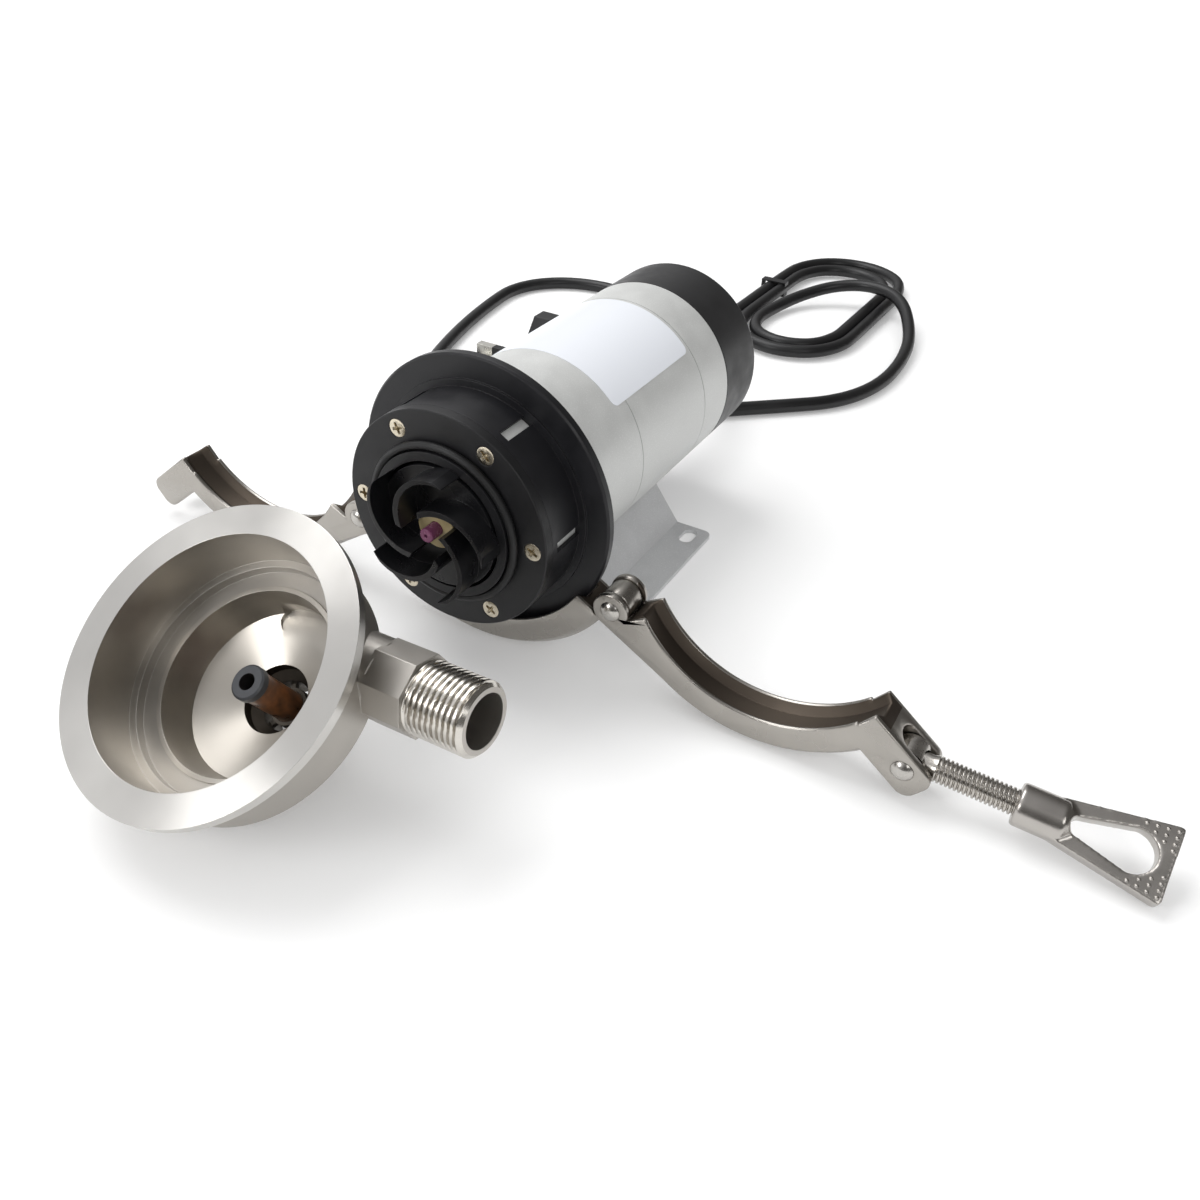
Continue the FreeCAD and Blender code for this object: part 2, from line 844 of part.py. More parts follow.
def cooling_fan():
    made = body("cooling_fan")
    bore = s.bearing_bore + s.snug_gap
    disc_back = fan_front + s.fan_disc_thick
    turn(made, "disc", [
        (bore, fan_front),
        (s.fan_radius, fan_front),
        (s.fan_radius, disc_back),
        (s.fan_hub_radius, disc_back),
        (s.fan_hub_radius, fan_back),
        (bore, fan_back),
    ])
    inner = s.fan_hub_radius - s.overcut
    root = disc_back - s.root_overlap
    blade = [(inner, root), (s.fan_radius, root), (s.fan_radius, fan_back), (inner, fan_back)]
    pad = extrude(made, "blade", "XY_Plane", [blade], length=s.fan_blade_thick)
    repeat(made, "blades", [pad], s.fan_blade_count)
    return made


# Magnetic coupling

def drive_magnet_cup():
    bore = s.bearing_bore + s.snug_gap
    return turned("drive_magnet_cup", [
        (cup_inner, -s.cup_front),
        (cup_outer, -s.cup_front),
        (cup_outer, cup_back + s.cup_floor),
        (bore, cup_back + s.cup_floor),
        (bore, cup_back),
        (cup_inner, cup_back),
    ])


def drive_magnets():
    made = body("drive_magnets")
    outer = magnet_inner + s.magnet_thick
    start = -s.cup_front + s.magnet_inset
    turn(made, "ring", [
        (magnet_inner, start),
        (outer, start),
        (outer, start + s.magnet_length),
        (magnet_inner, start + s.magnet_length),
    ])
    half = s.magnet_split / 2
    split = [(s.can_outer, -half), (cup_outer, -half), (cup_outer, half), (s.can_outer, half)]
    cut = extrude(made, "split", "XZ_Plane", [split], cut=True)
    repeat(made, "splits", [cut], s.magnet_count)
    return made


# Impeller and the shaft it runs on

def impeller():
    made = body("impeller")
    bore = s.impeller_bush_radius + s.snug_gap
    inner = impeller_magnet_outer - s.impeller_magnet_thick
    front = disc_front + s.impeller_disc_thick
    turn(made, "disc_and_tail", [
        (bore, disc_front),
        (s.impeller_disc_radius, disc_front),
        (s.impeller_disc_radius, front + s.overcut),
        (tail_radius, front + s.overcut),
        (tail_radius, tail_end),
        (impeller_magnet_outer + s.snug_gap, tail_end),
        (impeller_magnet_outer + s.snug_gap, front + s.magnet_cover),
        (inner - s.snug_gap, front + s.magnet_cover),
        (inner - s.snug_gap, tail_end),
        (bore, tail_end),
    ])
    inner_angle = s.vane_phase + s.vane_sweep
    spread = s.vane_tip_spread / 2
    vane = [
        polar(s.vane_inner_radius + s.vane_thick, inner_angle) + (-s.vane_curve,),
        polar(s.impeller_radius, s.vane_phase + spread) + (-s.impeller_radius,),
        polar(s.impeller_radius, s.vane_phase - spread) + (s.vane_curve - s.vane_taper,),
        polar(s.vane_inner_radius, inner_angle),
    ]
    root = disc_front + s.impeller_face_gap
    reach = root + s.impeller_front
    pad = extrude(made, "vane", "XZ_Plane", [vane], length=reach, both=False, out=-root)
    repeat(made, "vanes", [pad], s.vane_count)
    return made


def impeller_magnet():
    inner = impeller_magnet_outer - s.impeller_magnet_thick
    front = disc_front + s.impeller_disc_thick + s.magnet_cover + s.snug_gap
    return turned("impeller_magnet", [
        (inner, front),
        (impeller_magnet_outer, front),
        (impeller_magnet_outer, tail_end),
        (inner, tail_end),
    ])


def impeller_bush():
    bore = s.pump_shaft_radius + s.running_gap
    return turned("impeller_bush", [
        (bore, disc_front - s.impeller_bush_rise),
        (s.impeller_bush_radius, disc_front - s.impeller_bush_rise),
        (s.impeller_bush_radius, tail_end + s.bush_past_tail),
        (bore, tail_end + s.bush_past_tail),
    ])


def pump_shaft():
    end = can_floor + s.seat_gap
    edge = s.flange_edge_chamfer / 2
    return turned("pump_shaft", [
        (s.pump_shaft_hole, -s.pump_shaft_tip),
        (s.pump_shaft_radius - edge, -s.pump_shaft_tip),
        (s.pump_shaft_radius, edge - s.pump_shaft_tip),
        (s.pump_shaft_radius, end),
        (0, end),
        (0, s.pump_shaft_hole_depth - s.pump_shaft_tip),
        (s.pump_shaft_hole, s.pump_shaft_hole_depth - s.pump_shaft_tip),
    ])


# Clamp. Its frame has the arc centre as origin and the clamp's middle plane as XZ.

clamp_place = -s.flange_to_slots + s.clamp_behind_face
clamp_lip = s.flange_radius - s.lip_reach
hinge_radius = clamp_crown + s.hinge_stand_off
lug_top = clamp_crown + s.lug_rise
lug_root = clamp_crown - s.lug_root_depth
lug_pin_height = lug_top - s.lug_pin_drop
fork_root = lug_top - s.fork_depth
pin_x, pin_z = hinge_radius * cosine(s.hinge_angle), -hinge_radius * sine(s.hinge_angle)
arm_shift = pin_x * 2
lug_pin_x = s.lug_pin_inset - s.lug_face
pin_hole = s.pin_radius + s.running_gap
gusset_reach = (clamp_crown - s.ear_radius) / hinge_radius
gusset_angle = Size(
    math.degrees(math.acos(gusset_reach.value)) - s.hinge_angle.value,
    "(acos(%s) / 1deg - %s)" % (gusset_reach.text, s.hinge_angle.text),
)


# The middle segment ends inside its barrels.
barrel_reach = (s.barrel_radius - s.barrel_root) / hinge_radius
middle_end_angle = Size(
    math.degrees(math.asin(barrel_reach.value)) + s.hinge_angle.value,
    "(asin(%s) / 1deg + %s)" % (barrel_reach.text, s.hinge_angle.text),
)


def clamp_body(label, across=0, up=0, angle=0):
    """An empty body in the clamp's frame, moved and turned about Y."""
    across, up, angle = size(across), axis_height + up, size(angle)
    turned_by = FreeCAD.Rotation(FreeCAD.Vector(0, math.copysign(1, angle.value), 0), abs(angle.value))
    spot = FreeCAD.Vector(across.value, clamp_place.value, up.value)
    made = body(label, FreeCAD.Placement(spot, turned_by))
    made.setExpression("Placement.Base.x", across.text)
    made.setExpression("Placement.Base.y", clamp_place.text)
    made.setExpression("Placement.Base.z", up.text)
    if angle.value != 0:
        made.setExpression("Placement.Rotation.Angle", (angle if angle.value > 0 else -angle).text)
    return made


def channel(side):
    """The clamp's grooved section, radius first, on one side of its axis."""
    half, lip, floor = s.clamp_half_width, s.groove_half_lip, s.groove_half_floor
    section = [
        (clamp_lip, -half), (clamp_flank, -half), (clamp_crown, -s.clamp_crown_half),
        (clamp_crown, s.clamp_crown_half), (clamp_flank, half), (clamp_lip, half),
        (clamp_lip, lip), (groove_floor, floor), (groove_floor, -floor), (clamp_lip, -lip),
    ]
    return [(radius * side, along) for radius, along in section]


def clamp_middle():
    made = clamp_body("clamp_middle")
    section = [(along, radius) for radius, along in channel(-1)]
    arc = (size(90) - middle_end_angle) * 2
    turn(made, "segment", section, axis="H_Axis", angles=[arc], role="YZ_Plane")
    room = s.ear_radius + s.ear_gap
    pockets = [(pin_x, pin_z, room), (-pin_x, pin_z, room)]
    extrude(made, "front_ear_room", "XZ_Plane", pockets, cut=True, both=False, reverse=True,
            out=s.barrel_half)
    extrude(made, "rear_ear_room", "XZ_Plane", pockets, cut=True, both=False, out=-s.barrel_half)
    barrels = [(pin_x, pin_z, s.barrel_radius), (-pin_x, pin_z, s.barrel_radius)]
    extrude(made, "barrels", "XZ_Plane", barrels, length=s.barrel_half * 2)
    extrude(made, "pin_holes", "XZ_Plane", [(pin_x, pin_z, pin_hole), (-pin_x, pin_z, pin_hole)], cut=True)
    return made


def rivet(made, name, across, up):
    """A pin through the clamp's width with a dome head at each end."""
    face = s.clamp_half_width + s.snug_gap
    top = face + s.pin_head_rise
    wide, rise = s.pin_head_radius, s.pin_head_rise
    dome = (wide * wide + rise * rise) / (rise * 2)
    return turn(made, name, [
        (0, -top, dome),
        (s.pin_head_radius, -face),
        (s.pin_radius, -face),
        (s.pin_radius, face),
        (s.pin_head_radius, face, dome),
        (0, top),
    ], across=across, out=up)


def hinge_pins():
    made = clamp_body("hinge_pins")
    rivet(made, "right_pin", pin_x, pin_z)
    rivet(made, "left_pin", -pin_x, pin_z)
    return made


def clamp_arm(label, side):
    """One arm, drawn closed and placed open. Side is 1 for the right and -1 for the left."""
    made = clamp_body(label, arm_shift * side, 0, open_angle * side)
    spans = [s.arm_start_angle, s.arm_end_angle]
    turn(made, "segment", channel(side), angles=spans if side > 0 else spans[::-1])
    half = s.clamp_half_width
    extrude(made, "ears", "XZ_Plane", [(pin_x * side, pin_z, s.ear_radius)], length=half * 2)
    touch_x, touch_z = polar(clamp_crown, gusset_angle)
    ear_x, ear_z = polar(s.ear_radius, gusset_angle)
    inner_x, inner_z = polar(clamp_flank, gusset_angle)
    gusset = [
        (pin_x * side, pin_z), ((pin_x + ear_x) * side, pin_z + ear_z), (touch_x * side, touch_z),
        (inner_x * side, inner_z),
    ]
    extrude(made, "gusset", "XZ_Plane", [gusset], length=half * 2)
    near, far = -s.lug_face * side, (s.lug_thick - s.lug_face) * side
    corner, top = s.lug_corner, lug_top
    curve = corner * side
    lug = [
        (near, lug_root), (far, lug_root), (far, top - corner, curve), (far - curve, top),
        (near + curve, top, curve), (near, top - corner),
    ]
    extrude(made, "lug", "XZ_Plane", [lug], length=half * 2)
    lip, floor = s.groove_half_lip, s.groove_half_floor
    inner, side_end = clamp_lip - s.flange_room_depth, half + s.overcut
    turn(made, "flange_room", [
        (inner, -side_end), (clamp_lip, -side_end), (clamp_lip, -lip), (groove_floor, -floor),
        (groove_floor, floor), (clamp_lip, lip), (clamp_lip, side_end), (inner, side_end),
    ], cut=True)
    room = s.barrel_half + s.knuckle_gap
    barrel_room = [(pin_x * side, pin_z, s.barrel_radius + s.barrel_gap)]
    extrude(made, "barrel_room", "XZ_Plane", barrel_room, length=room * 2, cut=True)
    extrude(made, "pin_hole", "XZ_Plane", [(pin_x * side, pin_z, pin_hole)], cut=True)
    gap = s.fork_half_gap
    fork = [
        (-gap, fork_root + gap, gap), (0, fork_root, gap), (gap, fork_root + gap),
        (gap, top + s.overcut), (-gap, top + s.overcut),
    ]
    extrude(made, "fork_slot", "YZ_Plane", [fork], cut=True)
    return made


def clamp_arm_left():
    return clamp_arm("clamp_arm_left", -1)


def clamp_arm_right():
    made = clamp_arm("clamp_arm_right", 1)
    extrude(made, "swing_pin_hole", "XZ_Plane", [(lug_pin_x, lug_pin_height, pin_hole)], cut=True)
    return made


def swing_bolt_pin():
    made = clamp_body("swing_bolt_pin", arm_shift, 0, open_angle)
    rivet(made, "pin", lug_pin_x, lug_pin_height)
    return made


pivot_x = arm_shift + lug_pin_x * cosine(open_angle) + lug_pin_height * sine(open_angle)
pivot_z = lug_pin_height * cosine(open_angle) - lug_pin_x * sine(open_angle)


def swing_bolt():
    made = clamp_body("swing_bolt", pivot_x, pivot_z, s.swing_angle)
    edge = s.thread_chamfer
    turn(made, "shank", [
        (0, 0), (s.bolt_length, 0), (s.bolt_length, s.bolt_radius - edge),
        (s.bolt_length - edge, s.bolt_radius), (0, s.bolt_radius),
    ], axis="H_Axis")
    extrude(made, "eye", "XZ_Plane", [(0, 0, s.bolt_eye_radius)], length=(s.bolt_radius - s.running_gap) * 2)
    extrude(made, "pin_hole", "XZ_Plane", [(0, 0, pin_hole)], cut=True)
    return made


def wing_nut():
    spot = FreeCAD.Vector(pivot_x.value, clamp_place.value, (axis_height + pivot_z).value)
    slope = FreeCAD.Rotation(FreeCAD.Vector(0, 1, 0), s.swing_angle.value)
    roll = FreeCAD.Rotation(FreeCAD.Vector(1, 0, 0), s.nut_roll.value)
    made = body("wing_nut", FreeCAD.Placement(spot, slope * roll))
    made.setExpression("Placement.Base.x", pivot_x.text)
    made.setExpression("Placement.Base.y", clamp_place.text)
    made.setExpression("Placement.Base.z", (axis_height + pivot_z).text)
    start, end = s.nut_start, s.nut_start + s.nut_length
    barrel = start + s.nut_barrel_length
    wide = s.nut_end_half_width
    root = s.nut_barrel_radius - s.nut_paddle_inset
    first = barrel - s.nut_paddle_root
    corner, chamfer = s.nut_corner, s.nut_barrel_chamfer
    paddle = [
        (first, -root), (end - corner, -wide, corner), (end, corner - wide), (end, wide - corner, corner),
        (end - corner, wide), (first, root),
    ]
    extrude(made, "paddle", "XY_Plane", [paddle], length=s.nut_thick)
    turn(made, "barrel", [
        (start, 0), (barrel + s.nut_shoulder, 0), (barrel + s.nut_shoulder, s.nut_thick / 2),
        (barrel, s.nut_barrel_radius), (start + chamfer, s.nut_barrel_radius),
        (start, s.nut_barrel_radius - chamfer),
    ], axis="H_Axis")
    hole = s.nut_hole_half_width
    back = start + s.nut_hole_end - hole
    tip = s.nut_hole_tip
    near = start + s.nut_hole_start + tip
    finger = [
        (back, -hole, hole), (back + hole, 0, hole), (back, hole), (near, tip, tip), (near - tip, 0, tip),
        (near, -tip),
    ]
    extrude(made, "finger_hole", "XY_Plane", [finger], cut=True)
    bore = s.bolt_radius + s.running_gap
    turn(made, "bore", [
        (start - s.overcut, 0), (s.bolt_length + s.seat_gap, 0), (s.bolt_length + s.seat_gap, bore),
        (start - s.overcut, bore),
    ], axis="H_Axis", cut=True)
    return made


# Pump head. Its frame: Y is the depth from the ring's face, X points along the outlet.

def head_body(label):
    tilt = FreeCAD.Rotation(FreeCAD.Vector(1, 0, 0), -s.head_tilt.value)
    swung = FreeCAD.Rotation(FreeCAD.Vector(0, 0, 1), s.head_turn.value)
    rolled = FreeCAD.Rotation(FreeCAD.Vector(0, 1, 0), s.head_roll.value)
    height = s.inlet_end * sine(s.head_tilt) + s.thread_radius * cosine(s.head_tilt) - s.head_rest_drop
    forward = -s.flange_to_slots - s.head_forward
    spot = FreeCAD.Vector(s.head_x.value, forward.value, height.value)
    made = body(label, FreeCAD.Placement(spot, swung * tilt * rolled))
    made.setExpression("Placement.Base.x", s.head_x.text)
    made.setExpression("Placement.Base.y", forward.text)
    made.setExpression("Placement.Base.z", height.text)
    return made


chamber_rim = s.chamber_radius + s.chamber_rim_width
rim_face = s.seat_depth - s.chamber_rim_height


def pump_head():
    made = head_body("pump_head")
    wall, end = s.head_wall, s.inlet_end
    drum = s.ring_inner + wall
    volute = s.chamber_radius + wall
    edge = s.thread_chamfer
    turn(made, "outer_form", [
        (0, 0), (s.flange_radius, 0), (s.flange_radius, s.ring_rim),
        (s.ring_back_radius, s.ring_back_depth),
        (drum, s.ring_back_depth), (drum, s.seat_depth + wall), (volute, s.seat_depth + wall),
        (volute, s.chamber_crease_depth + s.overcut), (s.eye_radius + wall, s.eye_depth + wall),
        (s.neck_radius, s.eye_depth + wall + s.neck_slope), (s.neck_radius, s.inlet_thread_start),
        (s.thread_radius, s.inlet_thread_start), (s.thread_radius, end - edge),
        (s.thread_radius - edge, end),
        (0, end),
    ])
    along, up = s.outlet_depth, s.outlet_offset
    neck = s.collar_start + s.overcut
    extrude(made, "outlet_neck", "YZ_Plane", [(along, up, s.outlet_neck_radius)], length=neck, both=False)
    flat, out = s.collar_half, s.outlet_neck_radius + s.collar_corner
    low = out * out - flat * flat
    part = Size(math.sqrt(low.value), "sqrt(%s)" % low.text)
    collar = [
        (along - flat, up - part), (along - part, up - flat), (along + part, up - flat),
        (along + flat, up - part),
        (along + flat, up + part), (along + part, up + flat), (along - part, up + flat),
        (along - flat, up + part),
    ]
    width = s.collar_end - s.collar_start
    extrude(made, "outlet_collar", "YZ_Plane", [collar], length=width, both=False, out=s.collar_start)
    turn(made, "outlet_thread", [
        (s.collar_end - s.overcut, 0), (s.outlet_end, 0), (s.outlet_end, s.thread_radius - edge),
        (s.outlet_end - edge, s.thread_radius), (s.collar_end - s.overcut, s.thread_radius),
    ], axis="H_Axis", across=0, up=along, out=up)
    turn(made, "inside", [
        (0, -s.overcut), (s.ring_inner, -s.overcut), (s.ring_inner, s.bore_depth),
        (s.groove_radius, s.bore_depth),
        (s.groove_radius, s.seat_depth), (chamber_rim, s.seat_depth), (chamber_rim, rim_face),
        (s.chamber_radius, rim_face), (s.chamber_radius, s.seat_depth + s.chamber_rim_height),
        (s.chamber_crease_radius, s.chamber_crease_depth),
        (s.eye_radius, s.eye_depth), (s.eye_radius, s.eye_depth + wall),
        (s.inlet_bore, s.eye_depth + wall + s.eye_slope), (s.inlet_bore, end + s.overcut),
        (0, end + s.overcut),
    ], cut=True)
    shallow, deep = s.seat_depth + s.mouth_gap, s.chamber_crease_depth - s.mouth_gap
    mouth = [
        (shallow, up - s.outlet_bore), (deep, up - s.outlet_bore),
        (deep, up + s.outlet_bore), (shallow, up + s.outlet_bore),
    ]
    extrude(made, "outlet_mouth", "YZ_Plane", [mouth], length=s.collar_start, cut=True, both=False,
            reverse=True)
    sweep = s.chamber_radius - s.throat_wall_cut
    throat = [
        (s.collar_start - s.throat_run, s.throat_edge), (s.collar_start - s.throat_run, s.throat_top),
        (s.throat_turn, s.throat_top), (s.throat_bend, s.throat_reach, sweep),
        (-s.throat_bend, s.throat_reach, s.throat_round),
        (-s.throat_start - s.throat_lead, s.throat_edge + s.throat_rise, s.throat_round),
        (-s.throat_start, s.throat_edge),
    ]
    extrude(made, "throat", "XZ_Plane", [throat], length=s.throat_deep, cut=True, both=False, reverse=True,
            out=-s.chamber_crease_depth - s.throat_sink)
    bore = [(along, up, s.outlet_bore)]
    extrude(made, "outlet_hole", "YZ_Plane", bore, cut=True, both=False, reverse=True, out=s.ring_inner)
    boss = s.spider_boss_radius
    thick = s.spider_thick
    reach = s.inlet_bore + s.spider_root
    root, half = boss - s.spider_root, thick / 2
    strut = [(root, -half), (reach, -half), (reach, half), (root, half)]
    start = -s.spider_depth - wall
    struts = extrude(made, "strut", "XZ_Plane", [strut], length=thick, both=False, out=start)
    repeat(made, "struts", [struts], s.spider_struts)
    extrude(made, "boss", "XZ_Plane", [(0, 0, boss)], length=wall, both=False, out=start)
    hole = [(0, 0, s.sleeve_radius + s.snug_gap)]
    extrude(made, "sleeve_hole", "XZ_Plane", hole, length=s.inlet_end * 2, cut=True)
    return made


def head_bush():
    made = head_body("head_bush")
    face, back = s.bush_face_depth, s.bush_face_depth + s.bush_length
    edge = s.flange_edge_chamfer
    turn(made, "bush", [
        (s.bush_hole, face), (s.bush_radius - edge, face), (s.bush_radius, face + edge),
        (s.bush_radius, back), (s.bush_hole, back),
    ])
    return made


def head_sleeve():
    made = head_body("head_sleeve")
    back = s.bush_face_depth + s.bush_length
    turn(made, "sleeve", [
        (s.bush_hole, back), (s.sleeve_radius, back), (s.sleeve_radius, s.sleeve_end),
        (s.bush_hole, s.sleeve_end),
    ])
    return made


# Foot bracket

foot_outer = s.slot_spacing_across / 2 + s.slot_to_edge


def foot_bracket():
    made = body("foot_bracket")
    thick = s.sheet_thick
    floor = -axis_height
    half = s.saddle_half_angle
    under = saddle_radius + thick
    bend = half - s.saddle_bend
    tuck = thick / 2
    web_x, web_z = polar(saddle_radius, half - 90)
    low_x, low_z = polar(under, bend - 90)
    profile = [
        (-foot_outer, floor), (-s.foot_inner + tuck, floor), (-low_x, low_z, under), (low_x, low_z),
        (s.foot_inner - tuck, floor), (foot_outer, floor), (foot_outer, floor + thick),
        (s.foot_inner, floor + thick), (web_x, web_z, -saddle_radius), (-web_x, web_z),
        (-s.foot_inner, floor + thick), (-foot_outer, floor + thick),
    ]
    length = (s.flange_to_slots - s.bracket_front) * 2
    extrude(made, "sheet", "XZ_Plane", [profile], length=length, both=False, out=-s.bracket_front - length)
    slots = []
    wide, long = s.slot_width / 2, s.slot_length / 2 - s.slot_width / 2
    for x in (-s.slot_spacing_across / 2, s.slot_spacing_across / 2):
        for side in (-1, 1):
            y = s.flange_to_slots + s.slot_spacing_along / 2 * side
            slots.append([
                (x + wide, y - long), (x + wide, y + long, wide), (x, y + long + wide, wide),
                (x - wide, y + long),
                (x - wide, y - long, wide), (x, y - long - wide, wide),
            ])
    extrude(made, "slots", "XY_Plane", slots, cut=True)
    rear = s.bracket_front + length
    turned_in = s.foot_corner_round
    corners = []
    for side in (1, -1):
        edge = foot_outer * side
        corners.append([
            (edge + side, rear - turned_in), (edge, rear - turned_in, turned_in * side),
            (edge - turned_in * side, rear), (edge - turned_in * side, rear + s.overcut),
            (edge + side, rear + s.overcut),
        ])
    extrude(made, "rear_corners", "XY_Plane", corners, cut=True)
    holes = [(0, along, s.bracket_screw_radius + s.snug_gap) for along in shell_screws]
    extrude(made, "screw_holes", "XY_Plane", holes, cut=True)
    return made


def bracket_screws():
    made = body("bracket_screws")
    under = -saddle_radius - s.sheet_thick - s.snug_gap
    tip = s.shell_wall + s.bracket_screw_tip - s.motor_radius
    for name, along in (("front_screw", shell_screws[0]), ("rear_screw", shell_screws[1])):
        turn(made, name, [
            (0, under - s.bracket_screw_head_thick),
            (s.bracket_screw_head, under - s.bracket_screw_head_thick),
            (s.bracket_screw_head, under), (s.bracket_screw_radius, under),
            (s.bracket_screw_radius, tip), (0, tip),
        ], role="XZ_Plane", out=-along)
    return made


# Mains lead. Its points are chosen by hand, in the row's own millimetres, and kept as they are.

LEAD_FROM_GLAND = [
    (0, 95.5, 27.5), (0, 114, 27.5), (-6, 136, 20), (-17, 158, 10), (-29, 183, 5),
    (-38, 208, 4.3), (-41, 238, 4.3),
]
LEAD_TO_PLUG = [
    (-38, 214, 11), (-31, 249, 9), (-23, 282, 9), (4, 299, 13.5), (35, 291, 13.5), (50, 263, 5),
    (55, 230, 3.4), (54, 196, 3.4), (43, 168, 3.4), (20, 147, 3.4), (-6, 124, 3.4),
    (-31, 97, 3.4), (-54, 76, 3.4),
    (-90, 46, 3.4), (-128, 58, 3.4), (-143, 95, 3.4), (-155, 133, 3.4), (-163, 172, 3.4), (-167, 209, 3.4),
    (-145, 234, 3.4), (-108, 238, 3.4), (-82, 212, 3.4), (-83, 178, 12), (-83, 150, 12),
]
BEND_SHARE = 0.45


def lead(label, points):
    """A tube of straight runs joined by tangent arcs, each as large as its two runs allow."""
    spots = [FreeCAD.Vector(*point) for point in points]
    edges, radii = [], []
    last = spots[0]
    for before, here, after in zip(spots, spots[1:], spots[2:]):
        come, leave = (here - before), (after - here)
        half = come.getAngle(leave) / 2
        cut = BEND_SHARE * min(come.Length, leave.Length)
        come.normalize()
        leave.normalize()
        start, end = here - come * cut, here + leave * cut
        radius = cut / math.tan(half)
        inward = (leave - come).normalize()
        middle = here + inward * (radius / math.cos(half) - radius)
        edges += [Part.makeLine(last, start), Part.Arc(start, middle, end).toShape()]
        radii.append(round(radius, 1))
        last = end
    edges.append(Part.makeLine(last, spots[-1]))
    path = Part.Wire(edges)
    radius = s.cord_diameter.value / 2
    ring = Part.Wire([Part.makeCircle(radius, spots[0], spots[1] - spots[0])])
    tube = path.makePipeShell([ring], True, False)
    share = tube.Volume / (math.pi * radius * radius * path.Length)
    print(label, "length", round(path.Length, 1), "volume share", round(share, 4), "bend radii", radii)
    made = doc.addObject("Part::Feature", label)
    made.Label = label
    made.Shape = tube
    return made


def lead_from_gland():
    return lead("power_cord_near", LEAD_FROM_GLAND)


def lead_to_plug():
    return lead("power_cord_far", LEAD_TO_PLUG)


def table_body(label, across, along):
    """An empty body standing on the table at a place of its own."""
    across, along = size(across), size(along)
    made = body(label, FreeCAD.Placement(FreeCAD.Vector(across.value, along.value, 0), FreeCAD.Rotation()))
    made.setExpression("Placement.Base.x", across.text)
    made.setExpression("Placement.Base.y", along.text)
    return made


def loop_outline(radius, straight):
    """A long loop with round ends, lengthwise along Y."""
    half = straight / 2
    return [
        (radius, -half), (radius, half, radius), (0, half + radius, radius), (-radius, half),
        (-radius, -half, radius), (0, -half - radius, radius),
    ]


def power_cord_hank():
    made = table_body("power_cord_hank", s.hank_x, s.hank_y)
    half = s.cord_diameter * s.hank_turns / 2
    shapes = [loop_outline(s.hank_bend_radius + half, s.hank_straight)]
    shapes.append(loop_outline(s.hank_bend_radius - half, s.hank_straight))
    extrude(made, "loops", "XY_Plane", shapes, length=s.cord_diameter, both=False, out=s.hank_lift)
    return made


def cord_tie():
    across = s.hank_x - s.hank_bend_radius
    made = table_body("cord_tie", across, s.hank_y + s.tie_along)
    wide = s.cord_diameter * s.hank_turns / 2 + s.snug_gap
    low, high = s.hank_lift - s.snug_gap, s.hank_lift + s.cord_diameter + s.snug_gap
    thick = s.tie_thick
    outer = [(-wide - thick, low - thick), (wide + thick, low - thick), (wide + thick, high + thick)]
    outer.append((-wide - thick, high + thick))
    inner = [(-wide, low), (wide, low), (wide, high), (-wide, high)]
    extrude(made, "band", "XZ_Plane", [outer, inner], length=s.tie_width)
    return made


def cord_gland():
    made = body("cord_gland")
    neck = s.gland_radius
    start, end = s.cap_rear - s.cap_wall - s.overcut, s.cap_rear + s.gland_length
    shoulder = s.cap_rear + s.gland_flange_thick
    turn(made, "gland", [
        (0, start), (neck, start), (neck, s.cap_rear + s.snug_gap),
        (s.gland_flange_radius, s.cap_rear + s.snug_gap), (s.gland_flange_radius, shoulder),
        (neck + s.gland_root, shoulder), (s.cord_diameter / 2 + s.gland_tip, end), (0, end),
    ], out=-s.gland_drop)
    return made


def plug_body():
    made = table_body("plug_body", s.plug_x, s.plug_y)
    front, rear, low, high = -s.plug_front, s.plug_rear, s.plug_low_height, s.plug_high_height
    corner = s.plug_corner
    side = [
        (front, 0), (rear, 0), (rear, high - corner), (rear - corner, high), (s.plug_slope_end, high),
        (s.plug_slope_start, low), (front + corner, low), (front, low - corner),
    ]
    extrude(made, "shell", "YZ_Plane", [side], length=s.plug_deep)
    end = rear + s.plug_relief_length
    turn(made, "relief", [
        (0, rear - s.overcut), (s.plug_relief_radius, rear - s.overcut),
        (s.cord_diameter / 2 + s.gland_tip, end), (0, end),
    ], out=s.plug_relief_height)
    return made


def plug_pin_places():
    return [(0, s.plug_pin_high), (0, s.plug_pin_low), (s.plug_earth_along, s.plug_earth_height)]


def pin_blocks(label, start, length, grow):
    """Three flat pins, or the sleeves round them, from the plug's front face outwards."""
    made = table_body(label, s.plug_x, s.plug_y)
    thick, wide = s.plug_pin_thick / 2 + grow, s.plug_pin_wide / 2 + grow
    blocks = []
    for along, up in plug_pin_places():
        blocks.append([
            (along - thick, up - wide), (along + thick, up - wide), (along + thick, up + wide),
            (along - thick, up + wide),
        ])
    face = -s.plug_deep / 2
    extrude(made, "pins", "YZ_Plane", blocks, length=length, both=False, reverse=True, out=face - start)
    return made


def plug_pins():
    return pin_blocks("plug_pins", s.plug_pin_sleeve, s.plug_pin_length - s.plug_pin_sleeve, size(0))


def plug_pin_sleeves():
    return pin_blocks("plug_pin_sleeves", size(0), s.plug_pin_sleeve, size(0))


PIECES = [
    motor_flange, separator_plate, plate_screws, plate_o_ring, front_housing, stator_shell, rear_bell,
    rear_cap,
    stator_core, stator_windings, rotor_core, motor_shaft, bearing_outer_rings, bearing_inner_rings,
    bearing_balls, cooling_fan, drive_magnet_cup, drive_magnets, impeller, impeller_magnet, impeller_bush,
    pump_shaft, clamp_middle, hinge_pins, clamp_arm_left, clamp_arm_right, swing_bolt_pin, swing_bolt,
    wing_nut,
    pump_head, head_bush, head_sleeve, foot_bracket, bracket_screws, cord_gland, lead_from_gland,
    lead_to_plug,
    power_cord_hank, cord_tie, plug_body, plug_pins, plug_pin_sleeves,
]

